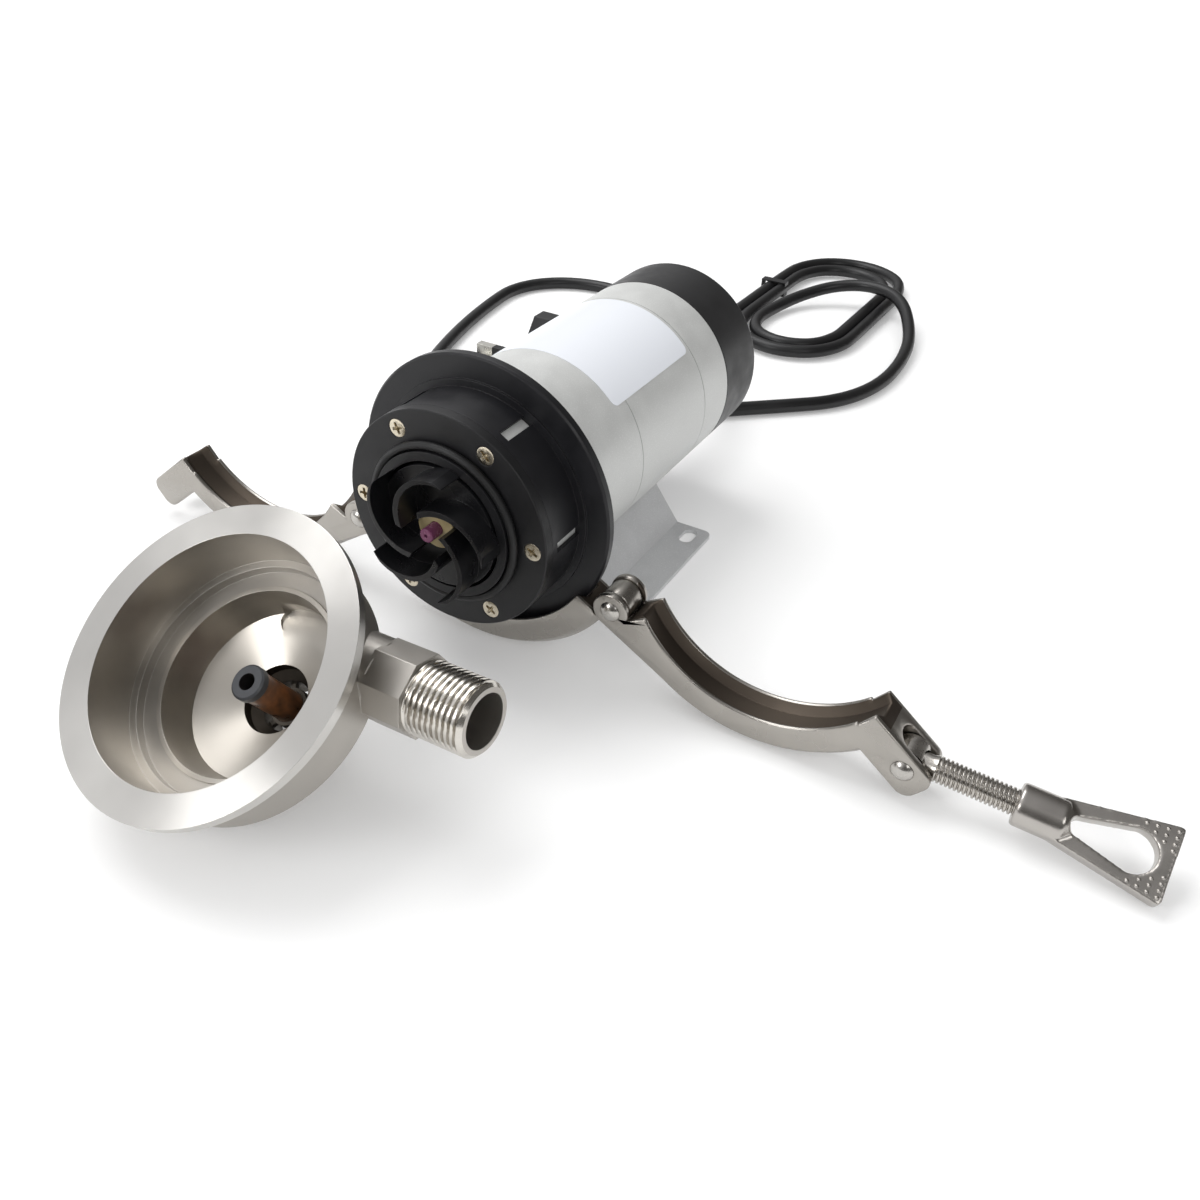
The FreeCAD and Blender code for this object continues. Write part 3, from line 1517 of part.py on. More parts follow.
made_pieces = [make() for make in PIECES]
doc.recompute()

faults = []
for thing in doc.Objects:
    if "Invalid" in thing.State or "Error" in thing.State:
        faults.append("%s is %s" % (thing.Label, thing.State))
for piece in made_pieces:
    shape = piece.Shape
    if shape.isNull() or not shape.isValid() or not shape.Solids:
        faults.append(piece.Label + " has no valid solid")
if faults:
    raise RuntimeError("; ".join(faults))

os.makedirs("parts", exist_ok=True)
for piece in made_pieces:
    piece.Shape.exportStep("parts/%s.step" % piece.Label)
    print(piece.Label, len(piece.Shape.Solids), round(piece.Shape.Volume, 1))
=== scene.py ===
import json
import math

import bmesh
import bpy
from mathutils import Matrix, Vector


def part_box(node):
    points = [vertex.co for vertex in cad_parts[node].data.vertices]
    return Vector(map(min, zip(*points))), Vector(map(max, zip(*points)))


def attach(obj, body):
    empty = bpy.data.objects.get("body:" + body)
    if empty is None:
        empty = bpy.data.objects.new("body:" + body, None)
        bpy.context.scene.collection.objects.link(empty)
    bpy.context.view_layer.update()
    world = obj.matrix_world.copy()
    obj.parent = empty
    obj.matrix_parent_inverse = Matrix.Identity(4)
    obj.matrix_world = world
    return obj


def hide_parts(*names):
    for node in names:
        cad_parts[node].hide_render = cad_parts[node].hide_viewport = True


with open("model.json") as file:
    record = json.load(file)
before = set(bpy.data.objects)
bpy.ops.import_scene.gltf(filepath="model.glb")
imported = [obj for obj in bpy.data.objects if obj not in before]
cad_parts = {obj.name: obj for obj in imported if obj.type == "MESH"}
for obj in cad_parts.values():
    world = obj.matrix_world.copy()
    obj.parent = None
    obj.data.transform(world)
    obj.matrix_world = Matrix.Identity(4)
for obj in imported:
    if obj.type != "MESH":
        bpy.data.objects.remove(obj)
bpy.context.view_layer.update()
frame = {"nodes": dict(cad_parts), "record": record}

MM = 0.001
AXIS_HEIGHT = 53.5
MOTOR_RADIUS = 34.3

# Camera, set as the photograph was taken
CAMERA_PLACE = (170.04, -294.72, 225.44)
CAMERA_TURN = 28.52
CAMERA_PITCH = 36.41
CAMERA_ROLL = 2.27
CAMERA_LENS = 32.02
SENSOR = 36.0
CLIP_START = 0.01


def camera():
    made = bpy.data.objects.new("camera", bpy.data.cameras.new("camera"))
    made.data.lens = CAMERA_LENS
    made.data.sensor_width = SENSOR
    made.data.clip_start = CLIP_START
    turn, pitch, roll = (math.radians(a) for a in (CAMERA_TURN, CAMERA_PITCH, CAMERA_ROLL))
    back = Vector((math.sin(turn) * math.cos(pitch), -math.cos(turn) * math.cos(pitch), math.sin(pitch)))
    level = Vector((math.cos(turn), math.sin(turn), 0))
    above = back.cross(level)
    right = math.cos(roll) * level + math.sin(roll) * above
    up = math.cos(roll) * above - math.sin(roll) * level
    aim = Matrix((right, up, back)).transposed().to_4x4()
    made.matrix_world = Matrix.Translation(Vector(CAMERA_PLACE) * MM) @ aim
    bpy.context.scene.collection.objects.link(made)
    bpy.context.scene.camera = made
    bpy.context.scene.view_settings.view_transform = "Standard"


camera()


# Node helpers; the numbers are the colour sockets of a Mix node
MIX_FIRST, MIX_SECOND, MIX_RESULT = 6, 7, 2
WHITE = (1.0, 1.0, 1.0, 1.0)


class Nodes:
    """A material's node tree, with short calls to add and join its nodes."""

    def __init__(self, tree):
        self.tree = tree
        tree.nodes.clear()

    def add(self, kind, **values):
        node = self.tree.nodes.new("ShaderNode" + kind)
        for name, value in values.items():
            if hasattr(node, name):
                setattr(node, name, value)
            else:
                self.put(node.inputs[name.replace("_", " ")], value)
        return node

    def put(self, socket, value):
        if isinstance(value, bpy.types.NodeSocket):
            self.tree.links.new(value, socket)
        else:
            socket.default_value = value

    def math(self, operation, *values):
        node = self.add("Math", operation=operation)
        for socket, value in zip(node.inputs, values):
            self.put(socket, value)
        return node.outputs[0]

    def noise(self, vector, scale, detail=3.0, rough=0.6):
        node = self.add("TexNoise", Scale=scale, Detail=detail, Roughness=rough)
        self.put(node.inputs["Vector"], vector)
        return node.outputs["Fac"]

    def vector(self, operation, *values, output=0):
        node = self.add("VectorMath", operation=operation)
        for socket, value in zip(node.inputs, values):
            self.put(socket, value)
        return node.outputs[output]

    def spread(self, value, low, high, start=0.3, end=0.7, smooth=False):
        node = self.add("MapRange", interpolation_type="SMOOTHSTEP" if smooth else "LINEAR")
        limits = {"From Min": start, "From Max": end, "To Min": low, "To Max": high}
        for name, number in limits.items():
            node.inputs[name].default_value = number
        self.put(node.inputs["Value"], value)
        return node.outputs["Result"]

    def blend(self, share, first, second):
        node = self.add("Mix", data_type="RGBA")
        self.put(node.inputs["Factor"], share)
        self.put(node.inputs[MIX_FIRST], first)
        self.put(node.inputs[MIX_SECOND], second)
        return node.outputs[MIX_RESULT]


def linear(shade):
    """A colour given as seen, 0 to 255, as the numbers that a shader takes."""
    return tuple(((v / 255 + 0.055) / 1.055) ** 2.4 for v in shade) + (1.0,)


def scaled(colour, share):
    return tuple(min(1.0, v * share) for v in colour[:3]) + (1.0,)


# Axes of the turned parts: a point in millimetres and a direction
MOTOR_AXIS = ((0.0, 0.0, AXIS_HEIGHT), (0.0, 1.0, 0.0))
HEAD_ORIGIN = (-22.0, -156.4, 44.642)
HEAD_DEPTH = (0.07742, 0.55088, -0.83098)
HEAD_OUTLET = (0.99700, -0.04076, 0.06587)
HEAD_SIDE = (-0.00241, 0.83359, 0.55238)
HEAD_AXIS = (HEAD_ORIGIN, HEAD_DEPTH)
CLAMP_MIDDLE = -58.8
ARM_CENTRE = 98.12

# Marks of the surfaces
# Bounds of a clamp piece's groove, where the steel is rougher and darkened by painted shade
GROOVE_HALF, GROOVE_REACH, GROOVE_ROUGHER = 5.45, 49.4, 0.2
SPECKLE_FROM, SPECKLE_TO, SPECKLE_BRIGHT = 0.55, 0.75, 1.7
BUMP_DISTANCE = 0.08
BRUSH_TURN = 0.25
EDGE_SAMPLES = 4


def round_axis(nodes, place, axis):
    """A vector of the distance from an axis and the place along it, and the direction round it."""
    origin, direction = axis
    apart = nodes.vector("SUBTRACT", place, Vector(origin) * MM)
    around = nodes.vector("CROSS_PRODUCT", apart, direction)
    spots = nodes.add("CombineXYZ")
    nodes.put(spots.inputs[0], nodes.vector("LENGTH", around, output=1))
    nodes.put(spots.inputs[1], nodes.vector("DOT_PRODUCT", apart, direction, output=1))
    return spots.outputs[0], around


def finish(
    name, shade, rough, metal=0.0, tone=0.08, tone_size=9.0, grain=0.15, grain_size=0.5,
    rough_spread=0.08, speckle=0.0, speckle_size=0.35, rings=0.0, ring_size=0.22, axis=MOTOR_AXIS,
    brushed=0.0, edge=0.25, specular=0.5, tint=None, groove_painted_shade=None,
):
    """A surface with its tone, grain, gloss and rounded edges; sizes of its marks are in millimetres."""
    made = bpy.data.materials.new(name)
    made.use_nodes = True
    nodes = Nodes(made.node_tree)
    place = nodes.add("TexCoord").outputs["Object"]
    colour = linear(shade)
    broad = nodes.noise(place, 1 / (tone_size * MM), detail=2.0)
    share = nodes.spread(broad, 0.0, 1.0)
    dark = scaled(linear(tint) if tint else colour, 1 - tone)
    base = nodes.blend(share, dark, scaled(colour, 1 + tone))
    fine = nodes.noise(place, 1 / (grain_size * MM), detail=2.0)
    if speckle:
        spots = nodes.noise(place, 1 / (speckle_size * MM), detail=1.0)
        bright = nodes.spread(spots, 0.0, speckle, SPECKLE_FROM, SPECKLE_TO)
        base = nodes.blend(bright, base, scaled(colour, SPECKLE_BRIGHT))
    height = fine
    gloss = nodes.spread(broad, rough - rough_spread, rough + rough_spread)
    shader = nodes.add("BsdfPrincipled")
    if groove_painted_shade or rings or brushed:
        spots, around = round_axis(nodes, place, axis)
    # Painted shade: the groove is darkened to a set colour; its greater roughness is real
    if groove_painted_shade:
        apart = nodes.add("SeparateXYZ")
        nodes.put(apart.inputs[0], spots)
        within = nodes.math("LESS_THAN", nodes.math("ABSOLUTE", apart.outputs[1]), GROOVE_HALF * MM)
        low = nodes.math("LESS_THAN", apart.outputs[0], GROOVE_REACH * MM)
        inside = nodes.math("MULTIPLY", within, low)
        base = nodes.blend(inside, base, linear(groove_painted_shade))
        gloss = nodes.math("ADD", gloss, nodes.math("MULTIPLY", inside, GROOVE_ROUGHER))
    if rings or brushed:
        lathe_marks = nodes.noise(spots, 1 / (ring_size * MM), detail=2.0)
        height = nodes.math("ADD", fine, nodes.math("MULTIPLY", lathe_marks, rings))
    if brushed:
        shader.inputs["Anisotropic"].default_value = brushed
        shader.inputs["Anisotropic Rotation"].default_value = BRUSH_TURN
        nodes.put(shader.inputs["Tangent"], nodes.vector("NORMALIZE", around))
    shader.inputs["Metallic"].default_value = metal
    shader.inputs["Specular IOR Level"].default_value = specular
    nodes.put(shader.inputs["Base Color"], base)
    nodes.put(shader.inputs["Roughness"], gloss)
    bump = nodes.add("Bump", Strength=grain, Distance=BUMP_DISTANCE * MM)
    nodes.put(bump.inputs["Height"], height)
    if edge:
        rounded = nodes.add("Bevel", samples=EDGE_SAMPLES, Radius=edge * MM)
        nodes.put(bump.inputs["Normal"], rounded.outputs["Normal"])
    nodes.put(shader.inputs["Normal"], bump.outputs["Normal"])
    out = nodes.add("OutputMaterial")
    nodes.put(out.inputs["Surface"], shader.outputs[0])
    return made


def clamp_finish(name, across):
    """Cast steel, rougher and darkened by painted shade in the groove of the clamp piece whose arc has its
    centre there.
    """
    axis = ((across, CLAMP_MIDDLE, AXIS_HEIGHT), (0.0, 1.0, 0.0))
    return finish(
        name, (166, 162, 156), 0.28, metal=1.0, tone=0.05, tone_size=14.0, grain=0.10, grain_size=0.9,
        # the groove's colour is painted shade
        rough_spread=0.03, edge=0.5, axis=axis, groove_painted_shade=(86, 78, 70),
    )


# Each slot's shade as seen, its roughness and what sets it apart
SLOT_LOOKS = {
    "silver_casing": ((205, 206, 204), 0.44, dict(
        metal=0.30, tone=0.03, grain=0.22, grain_size=0.35, speckle=0.25, edge=0.3)),
    "black_flange": ((25, 25, 28), 0.40, dict(
        tone=0.12, grain=0.08, rings=1.2, ring_size=0.3, edge=0.35, specular=0.35)),
    "black_plate": ((23, 23, 25), 0.42, dict(tone=0.12, grain=0.10, rings=0.6, edge=0.3, specular=0.35)),
    "screw_steel": ((206, 197, 178), 0.24, dict(metal=1.0, tone=0.12, tone_size=1.5, grain=0.15, edge=0.1)),
    "seal_rubber": ((20, 20, 21), 0.50, dict(tone=0.15, grain=0.2, edge=0.0, specular=0.4)),
    "silver_bracket": ((212, 213, 214), 0.42, dict(
        metal=0.25, tone=0.04, grain=0.35, grain_size=0.4, speckle=0.35, speckle_size=0.4, edge=0.2)),
    "black_cap": ((38, 38, 39), 0.44, dict(tone=0.08, grain=0.12, rings=0.3, edge=0.4, specular=0.4)),
    "core_steel": ((120, 120, 122), 0.4, dict(metal=1.0, rings=1.5)),
    "copper_winding": ((168, 92, 52), 0.35, dict(metal=1.0, tone=0.2, tone_size=1.0, grain=0.6)),
    "shaft_steel": ((176, 176, 178), 0.22, dict(metal=1.0, grain=0.05, rings=0.5)),
    "magnet": ((92, 92, 95), 0.45, dict(metal=0.3, tone=0.1, grain=0.3)),
    "impeller_black": ((20, 20, 22), 0.32, dict(tone=0.12, grain=0.06, edge=0.25, specular=0.4)),
    "ivory_bush": ((188, 172, 130), 0.40, dict(tone=0.06, grain=0.1, edge=0.2)),
    "ceramic_shaft": ((128, 68, 104), 0.26, dict(tone=0.08, tone_size=2.0, grain=0.06, edge=0.15)),
    "pin_steel": ((184, 181, 176), 0.24, dict(metal=1.0, tone=0.06, tone_size=3.0, grain=0.12, edge=0.3)),
    "bolt_steel": ((186, 182, 176), 0.24, dict(metal=1.0, tone=0.08, tone_size=3.0, grain=0.1, edge=0.1)),
    "nut_steel": ((182, 178, 173), 0.24, dict(
        metal=1.0, tone=0.05, tone_size=12.0, grain=0.10, grain_size=0.9, rough_spread=0.03, edge=0.5)),
    "head_steel": ((182, 178, 172), 0.45, dict(
        metal=1.0, tone=0.05, tone_size=20.0, grain=0.16, grain_size=0.6, rough_spread=0.03, edge=0.4)),
    "grey_bush": ((60, 62, 66), 0.45, dict(tone=0.06, tone_size=2.0, grain=0.08)),
    "orange_sleeve": ((122, 78, 46), 0.34, dict(tone=0.22, tone_size=5.0, grain=0.08, tint=(78, 54, 38))),
    "cord_black": ((27, 27, 28), 0.38, dict(tone=0.10, tone_size=20.0, grain=0.12, edge=0.0, specular=0.4)),
    "plug_black": ((30, 30, 31), 0.42, dict(tone=0.08, grain=0.25, grain_size=0.4, edge=0.5, specular=0.4)),
    "plug_metal": ((205, 203, 196), 0.24, dict(metal=1.0, tone=0.06, grain=0.1, edge=0.2)),
    "white_label": ((228, 231, 237), 0.34, dict(
        tone=0.006, tone_size=30.0, grain=0.03, edge=0.0, rough_spread=0.02)),
}
FINISHES = {slot: finish(slot, shade, rough, **rest) for slot, (shade, rough, rest) in SLOT_LOOKS.items()}
FINISHES["clamp_steel"] = clamp_finish("clamp_steel", 0.0)
TURNED_HEAD = finish(
    "turned_steel", (206, 204, 200), 0.30, metal=1.0, tone=0.03, tone_size=16.0, grain=0.05, grain_size=0.9,
    rough_spread=0.02, rings=1.0, ring_size=0.9, axis=HEAD_AXIS, brushed=0.8, edge=0.25,
)
BORED_STEEL = finish(
    "bored_steel", (184, 179, 171), 0.34, metal=1.0, tone=0.05, tone_size=12.0, grain=0.06, grain_size=0.9,
    rough_spread=0.03, rings=1.0, ring_size=0.9, axis=HEAD_AXIS, brushed=0.6, edge=0.2,
)
# Painted shade: the steel deep in the inlet eye is made dark
INLET_PAINTED_SHADE = finish(
    "inlet_painted_shade", (92, 87, 80), 0.5, metal=1.0, tone=0.08, tone_size=6.0, grain=0.15, grain_size=0.6,
)
# Painted shadow: a near-black colour for the faces down the bores of the head's bush and sleeve
BORE_PAINTED_SHADOW = finish("painted_bore_shadow", (20, 18, 17), 0.6, tone=0.1, grain=0.1)
THREAD_STEEL = finish(
    "thread_steel", (206, 202, 195), 0.20, metal=1.0, tone=0.06, tone_size=6.0, grain=0.05, grain_size=0.6,
    rough_spread=0.03, edge=0.0,
)
NODE_FINISHES = {
    "clamp_arm_left": clamp_finish("clamp_steel_left", -ARM_CENTRE),
    "clamp_arm_right": clamp_finish("clamp_steel_right", ARM_CENTRE),
}


def dress():
    """Gives every node of the part the finish of its slot in the record."""
    for entry in frame["record"]["subparts"]:
        slots = frame["nodes"][entry["node"]].data.materials
        slots.clear()
        slots.append(NODE_FINISHES.get(entry["node"], FINISHES[entry["material_slot"]]))


dress()


# Mesh helpers; the slacks are in millimetres
WELD = 0.001
SKIN_SLACK = 0.05
CHAMFER_SLACK = 0.1
ALONG_AXIS = 0.95
THREAD_CREST, THREAD_FLANK, THREAD_TUCK = 0.42, 0.21, 0.35
THREAD_FADE = 0.8
THREAD_LIP = 0.02


def mesh_object(name, made, body, slot, smooth=35.0, finishes=None, turn_faces=True):
    """A bmesh as a named piece that rides on a body."""
    mesh = bpy.data.meshes.new(name)
    if turn_faces:
        bmesh.ops.recalc_face_normals(made, faces=made.faces)
    for face in made.faces:
        face.smooth = True
    for edge in made.edges:
        edge.smooth = len(edge.link_faces) != 2 or edge.calc_face_angle(0.0) < math.radians(smooth)
    made.to_mesh(mesh)
    made.free()
    for surface in finishes or [FINISHES[slot]]:
        mesh.materials.append(surface)
    piece = bpy.data.objects.new(name, mesh)
    bpy.context.scene.collection.objects.link(piece)
    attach(piece, body)
    return piece


def lathe(made, profile, place, steps=48):
    """Turns (radius, along) points round the local Z of place; a radius of 0 closes the end."""
    rings = []
    for radius, along in profile:
        count = 1 if radius == 0 else steps
        ring = []
        for i in range(count):
            angle = 2 * math.pi * i / steps
            point = Vector((radius * math.cos(angle), radius * math.sin(angle), along)) * MM
            ring.append(made.verts.new(place @ point))
        rings.append(ring)
    for first, second in zip(rings, rings[1:]):
        for i in range(steps):
            corners = [first[i % len(first)], first[(i + 1) % len(first)]]
            corners += [second[(i + 1) % len(second)], second[i % len(second)]]
            unique = list(dict.fromkeys(corners))
            if len(unique) > 2:
                made.faces.new(unique)


def along_y(x, y, z):
    """A place whose local Z runs along the object's Y."""
    return Matrix.Translation(Vector((x, y, z)) * MM) @ Matrix.Rotation(-math.pi / 2, 4, "X")


def frame_place(origin, x_axis, y_axis, z_axis):
    """A place with its origin in millimetres and its three directions."""
    turn = Matrix((Vector(x_axis), Vector(y_axis), Vector(z_axis))).transposed().to_4x4()
    return Matrix.Translation(Vector(origin) * MM) @ turn


def node_copy(name):
    """The mesh of a CAD node, with its split corners joined, to be worked on as a new piece."""
    made = bmesh.new()
    made.from_mesh(frame["nodes"][name].data)
    bmesh.ops.remove_doubles(made, verts=made.verts, dist=WELD * MM)
    return made


def ring_of(made, place, points, level):
    """New corners at points across a place, at one level along its Z."""
    return [made.verts.new(place @ (Vector((x, y, level)) * MM)) for x, y in points]


def bridge(made, first, second):
    for i in range(len(first)):
        k = (i + 1) % len(first)
        made.faces.new([first[i], first[k], second[k], second[i]])


def circle(radius, steps):
    turns = [2 * math.pi * i / steps for i in range(steps)]
    return [(radius * math.cos(turn), radius * math.sin(turn)) for turn in turns]


def skin_off(made, place, radius, start, end, inner):
    """Deletes the faces that lie on a cylinder round place's Z and on the chamfer at its end."""
    back = place.inverted()
    axis = place.to_3x3() @ Vector((0, 0, 1))

    def on_skin(spot):
        within = start - SKIN_SLACK < spot.z < end + SKIN_SLACK
        return within and inner < math.hypot(spot.x, spot.y) < radius + CHAMFER_SLACK

    gone = []
    for face in made.faces:
        upright = abs(face.normal.dot(axis)) < ALONG_AXIS
        if upright and all(on_skin(back @ vert.co / MM) for vert in face.verts):
            gone.append(face)
    bmesh.ops.delete(made, geom=gone, context="FACES")


def thread_skin(
    made, place, radius, pitch, depth, start, end, chamfer, finish_index=0, steps=72, rows_per_turn=12,
):
    """A helical thread round place's Z that fades in at its start and runs out over its end's chamfer."""
    rows = max(1, round((end - start) / pitch * rows_per_turn))
    rings = []
    for i in range(rows + 1):
        level = start + (end - start) * i / rows
        fade = min(1.0, (level - start) / (pitch * THREAD_FADE))
        points = []
        for j in range(steps):
            angle = 2 * math.pi * j / steps
            across = abs((level / pitch - j / steps) % 1.0 - 0.5) * 2
            form = min(1.0, max(0.0, (1 - THREAD_CREST - across) / (THREAD_FLANK * 2)))
            form = form * form * (3 - 2 * form)
            reach = min(radius - depth * form * fade, radius - (level - (end - chamfer)))
            points.append((reach * math.cos(angle), reach * math.sin(angle)))
        rings.append(ring_of(made, place, points, level))
    rings.insert(0, ring_of(made, place, circle(radius - THREAD_TUCK, steps), start - THREAD_LIP))
    inmost = radius - chamfer - THREAD_TUCK
    rings.append(ring_of(made, place, circle(inmost, steps), end - THREAD_LIP))
    turned = place.to_3x3().determinant() > 0
    for first, second in zip(rings, rings[1:]):
        for j in range(steps):
            k = (j + 1) % steps
            corners = [first[j], first[k], second[k], second[j]]
            face = made.faces.new(corners if turned else corners[::-1])
            face.material_index = finish_index


# The mains lead, one cord from the gland to the plug; the points are its route in millimetres
CORD_DIAMETER = 6.5
LEAD_FROM_GLAND = [
    (0, 95.5, 27.5), (0, 114, 27.5), (-6, 136, 20), (-17, 158, 10), (-30, 183, 5), (-42, 208, 4.3),
]
LEAD_TO_PLUG = [
    (-30.4, 241, 4.3), (-28, 262, 4.3), (-21, 282, 6.5), (-6, 297, 11), (14, 302, 13.8), (35, 292, 13.5),
    (50, 263, 5), (55, 230, 3.4), (54, 196, 3.4), (43, 168, 3.4), (20, 147, 3.4), (-6, 124, 3.4),
    (-31, 97, 3.4), (-54, 76, 3.4), (-90, 46, 3.4), (-128, 58, 3.4), (-143, 95, 3.4),
    (-155, 133, 3.4), (-163, 172, 3.4), (-167, 209, 3.4), (-145, 234, 3.4),
    (-108, 238, 3.4), (-82, 212, 3.4), (-83, 178, 12), (-83, 150, 12),
]
HANK_CENTRE = (-8, 281)
HANK_BEND = 36.25
HANK_STRAIGHT = 94.0
HANK_TURNS = 2
HANK_STEPS = 16
HANK_PITCH = 6.9
HANK_HEIGHT = 4.25
HANK_TOP_DRAW, HANK_BOTTOM_DRAW = 7.0, 3.0


def hank_points():
    """Turns of a long loop that winds inwards, from the lower end of its left side."""
    points = []
    for i in range(HANK_TURNS * HANK_STEPS):
        turn = i / HANK_STEPS
        bend = HANK_BEND - HANK_PITCH * turn
        top = HANK_STRAIGHT / 2 - HANK_TOP_DRAW * turn
        bottom = HANK_STRAIGHT / 2 - HANK_BOTTOM_DRAW * turn
        side, half = top + bottom, top + bottom + math.pi * bend
        along = (turn % 1.0) * 2 * half
        hand = -1 if along < half else 1
        along %= half
        angle = max(0.0, along - side) / bend
        if hand < 0:
            x, y = -bend * math.cos(angle), -bottom + min(along, side) + bend * math.sin(angle)
        else:
            x, y = bend * math.cos(angle), top - min(along, side) - bend * math.sin(angle)
        points.append((HANK_CENTRE[0] + x, HANK_CENTRE[1] + y, HANK_HEIGHT))
    return points


def mains_cord():
    curve = bpy.data.curves.new("mains_cord", "CURVE")
    curve.dimensions = "3D"
    curve.bevel_depth = CORD_DIAMETER / 2 * MM
    curve.bevel_resolution = 6
    curve.resolution_u = 10
    curve.use_fill_caps = True
    line = curve.splines.new("NURBS")
    points = LEAD_FROM_GLAND + hank_points() + LEAD_TO_PLUG
    line.points.add(len(points) - 1)
    for point, place in zip(line.points, points):
        point.co = tuple(v * MM for v in place) + (1.0,)
    line.order_u = 3
    line.use_endpoint_u = True
    curve.materials.append(FINISHES["cord_black"])
    piece = bpy.data.objects.new("mains_cord", curve)
    bpy.context.scene.collection.objects.link(piece)
    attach(piece, "base")
    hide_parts("power_cord_near", "power_cord_hank", "power_cord_far")
    return piece


cord = mains_cord()


# The blank label on the motor
LABEL_FRONT, LABEL_REAR = -25.7, 26.3
LABEL_HALF_ANGLE = 50.3
LABEL_CORNER = 2.6
LABEL_GAP, LABEL_LIFT = 0.01, 0.12
LABEL_COLUMNS, LABEL_ROWS = 64, 24


def blank_label():
    """A thin sheet bent round the motor's top, with rounded corners."""
    made = bmesh.new()
    middle = (LABEL_FRONT + LABEL_REAR) / 2
    half_long = (LABEL_REAR - LABEL_FRONT) / 2
    half_wide = math.radians(LABEL_HALF_ANGLE) * MOTOR_RADIUS
    columns, rows = LABEL_COLUMNS, LABEL_ROWS

    def place(across, along, radius):
        angle = across / MOTOR_RADIUS
        x, z = math.sin(angle) * radius, AXIS_HEIGHT + math.cos(angle) * radius
        return Vector((x, middle + along, z)) * MM

    def reach(across):
        """How far the sheet reaches along the motor there, less at its corners."""
        past = abs(across) - (half_wide - LABEL_CORNER)
        if past <= 0:
            return half_long
        return half_long - LABEL_CORNER + math.sqrt(max(0.0, LABEL_CORNER ** 2 - past ** 2))

    shares = [math.sin(math.pi / 2 * (2 * i / columns - 1)) for i in range(columns + 1)]
    layers = []
    for radius in (MOTOR_RADIUS + LABEL_GAP, MOTOR_RADIUS + LABEL_LIFT):
        grid = []
        for across in (half_wide * share for share in shares):
            limit = reach(across)
            spots = [place(across, limit * (2 * j / rows - 1), radius) for j in range(rows + 1)]
            grid.append([made.verts.new(spot) for spot in spots])
        layers.append(grid)
    low, high = layers
    for i in range(columns):
        for j in range(rows):
            made.faces.new([high[i][j], high[i + 1][j], high[i + 1][j + 1], high[i][j + 1]])
            made.faces.new([low[i][j], low[i][j + 1], low[i + 1][j + 1], low[i + 1][j]])
        for j in (0, rows):
            made.faces.new([low[i][j], low[i + 1][j], high[i + 1][j], high[i][j]])
    for j in range(rows):
        for i in (0, columns):
            made.faces.new([low[i][j], low[i][j + 1], high[i][j + 1], high[i][j]])
    return mesh_object("blank_label", made, "base", None, finishes=[FINISHES["white_label"]])


blank_label()


# Screws of the separator plate, with a cross recess
SCREW_CIRCLE = 30.8
SCREW_COUNT = 6
SCREW_HEAD = 2.95
RECESS_REACH = 1.85
RECESS_HALF = 0.52
RECESS_DEPTH = 1.5
RECESS_TAPER = 0.6
RECESS_TIP = 0.8
RIM_INSET = 0.35
SCREW_STEPS = 48
SCREW_BODY = [(SCREW_HEAD - 0.1, 0.1), (SCREW_HEAD - 0.1, 0.45), (1.5, 1.75), (1.5, 8.0), (0.9, 8.4)]
SCREW_FIRST_TURN, SCREW_TURN_STEP = 0.5, 1.9


def cross_points(reach, half, turn):
    """The outline of a cross recess, anticlockwise."""
    points = []
    for quarter in range(4):
        angle = turn + quarter * math.pi / 2
        along, across = (math.cos(angle), math.sin(angle)), (-math.sin(angle), math.cos(angle))
        for out, side in ((half, -half), (reach, -half * RECESS_TIP), (reach, half * RECESS_TIP)):
            points.append((along[0] * out + across[0] * side, along[1] * out + across[1] * side))
    return points


def cross_screw(made, place, turn):
    """A countersunk screw; local Z runs into the plate."""
    rim = ring_of(made, place, circle(SCREW_HEAD - RIM_INSET, SCREW_STEPS), 0.0)
    mouth = ring_of(made, place, cross_points(RECESS_REACH, RECESS_HALF, turn), 0.0)
    floor_points = cross_points(RECESS_REACH * RECESS_TAPER, RECESS_HALF * RECESS_TAPER, turn)
    bottom = ring_of(made, place, floor_points, RECESS_DEPTH)
    edges = []
    for ring in (rim, mouth):
        edges += [made.edges.new(ends) for ends in zip(ring, ring[1:] + ring[:1])]
    bmesh.ops.triangle_fill(made, use_beauty=True, edges=edges)
    bridge(made, mouth, bottom)
    made.faces.new(bottom)
    last = rim
    for radius, level in SCREW_BODY:
        ring = ring_of(made, place, circle(radius, SCREW_STEPS), level)
        bridge(made, last, ring)
        last = ring
    made.faces.new(last)


def plate_screw_heads():
    made = bmesh.new()
    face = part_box("plate_screws")[0].y / MM
    for i in range(SCREW_COUNT):
        angle = math.radians(360 / SCREW_COUNT * i)
        x, z = SCREW_CIRCLE * math.cos(angle), AXIS_HEIGHT + SCREW_CIRCLE * math.sin(angle)
        cross_screw(made, along_y(x, face, z), SCREW_FIRST_TURN + SCREW_TURN_STEP * i)
    piece = mesh_object("plate_screw_set", made, "base", "screw_steel", smooth=30.0)
    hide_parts("plate_screws")
    return piece


plate_screw_heads()


# The ribbed strain relief at the rear cap
CAP_REAR = 73.5
GLAND_DROP = 26.0
RELIEF_COLLAR = [
    (0, -3.0), (5.0, -3.0), (5.0, 0.25), (6.7, 0.25), (7.0, 0.6), (7.0, 2.2), (6.6, 2.6), (5.8, 2.7),
]
RELIEF_TIP = [(4.2, 20.7), (3.95, 21.8), (3.6, 22.0), (0, 22.0)]
RIB_COUNT, RIB_FIRST, RIB_LAST = 7, 3.6, 20.4
RIB_RADIUS, RIB_TAPER, RIB_DEPTH = 5.7, 0.2, 0.75
RIB_WIDTH, RIB_FLANK, RIB_GAP = 1.3, 0.2, 0.7


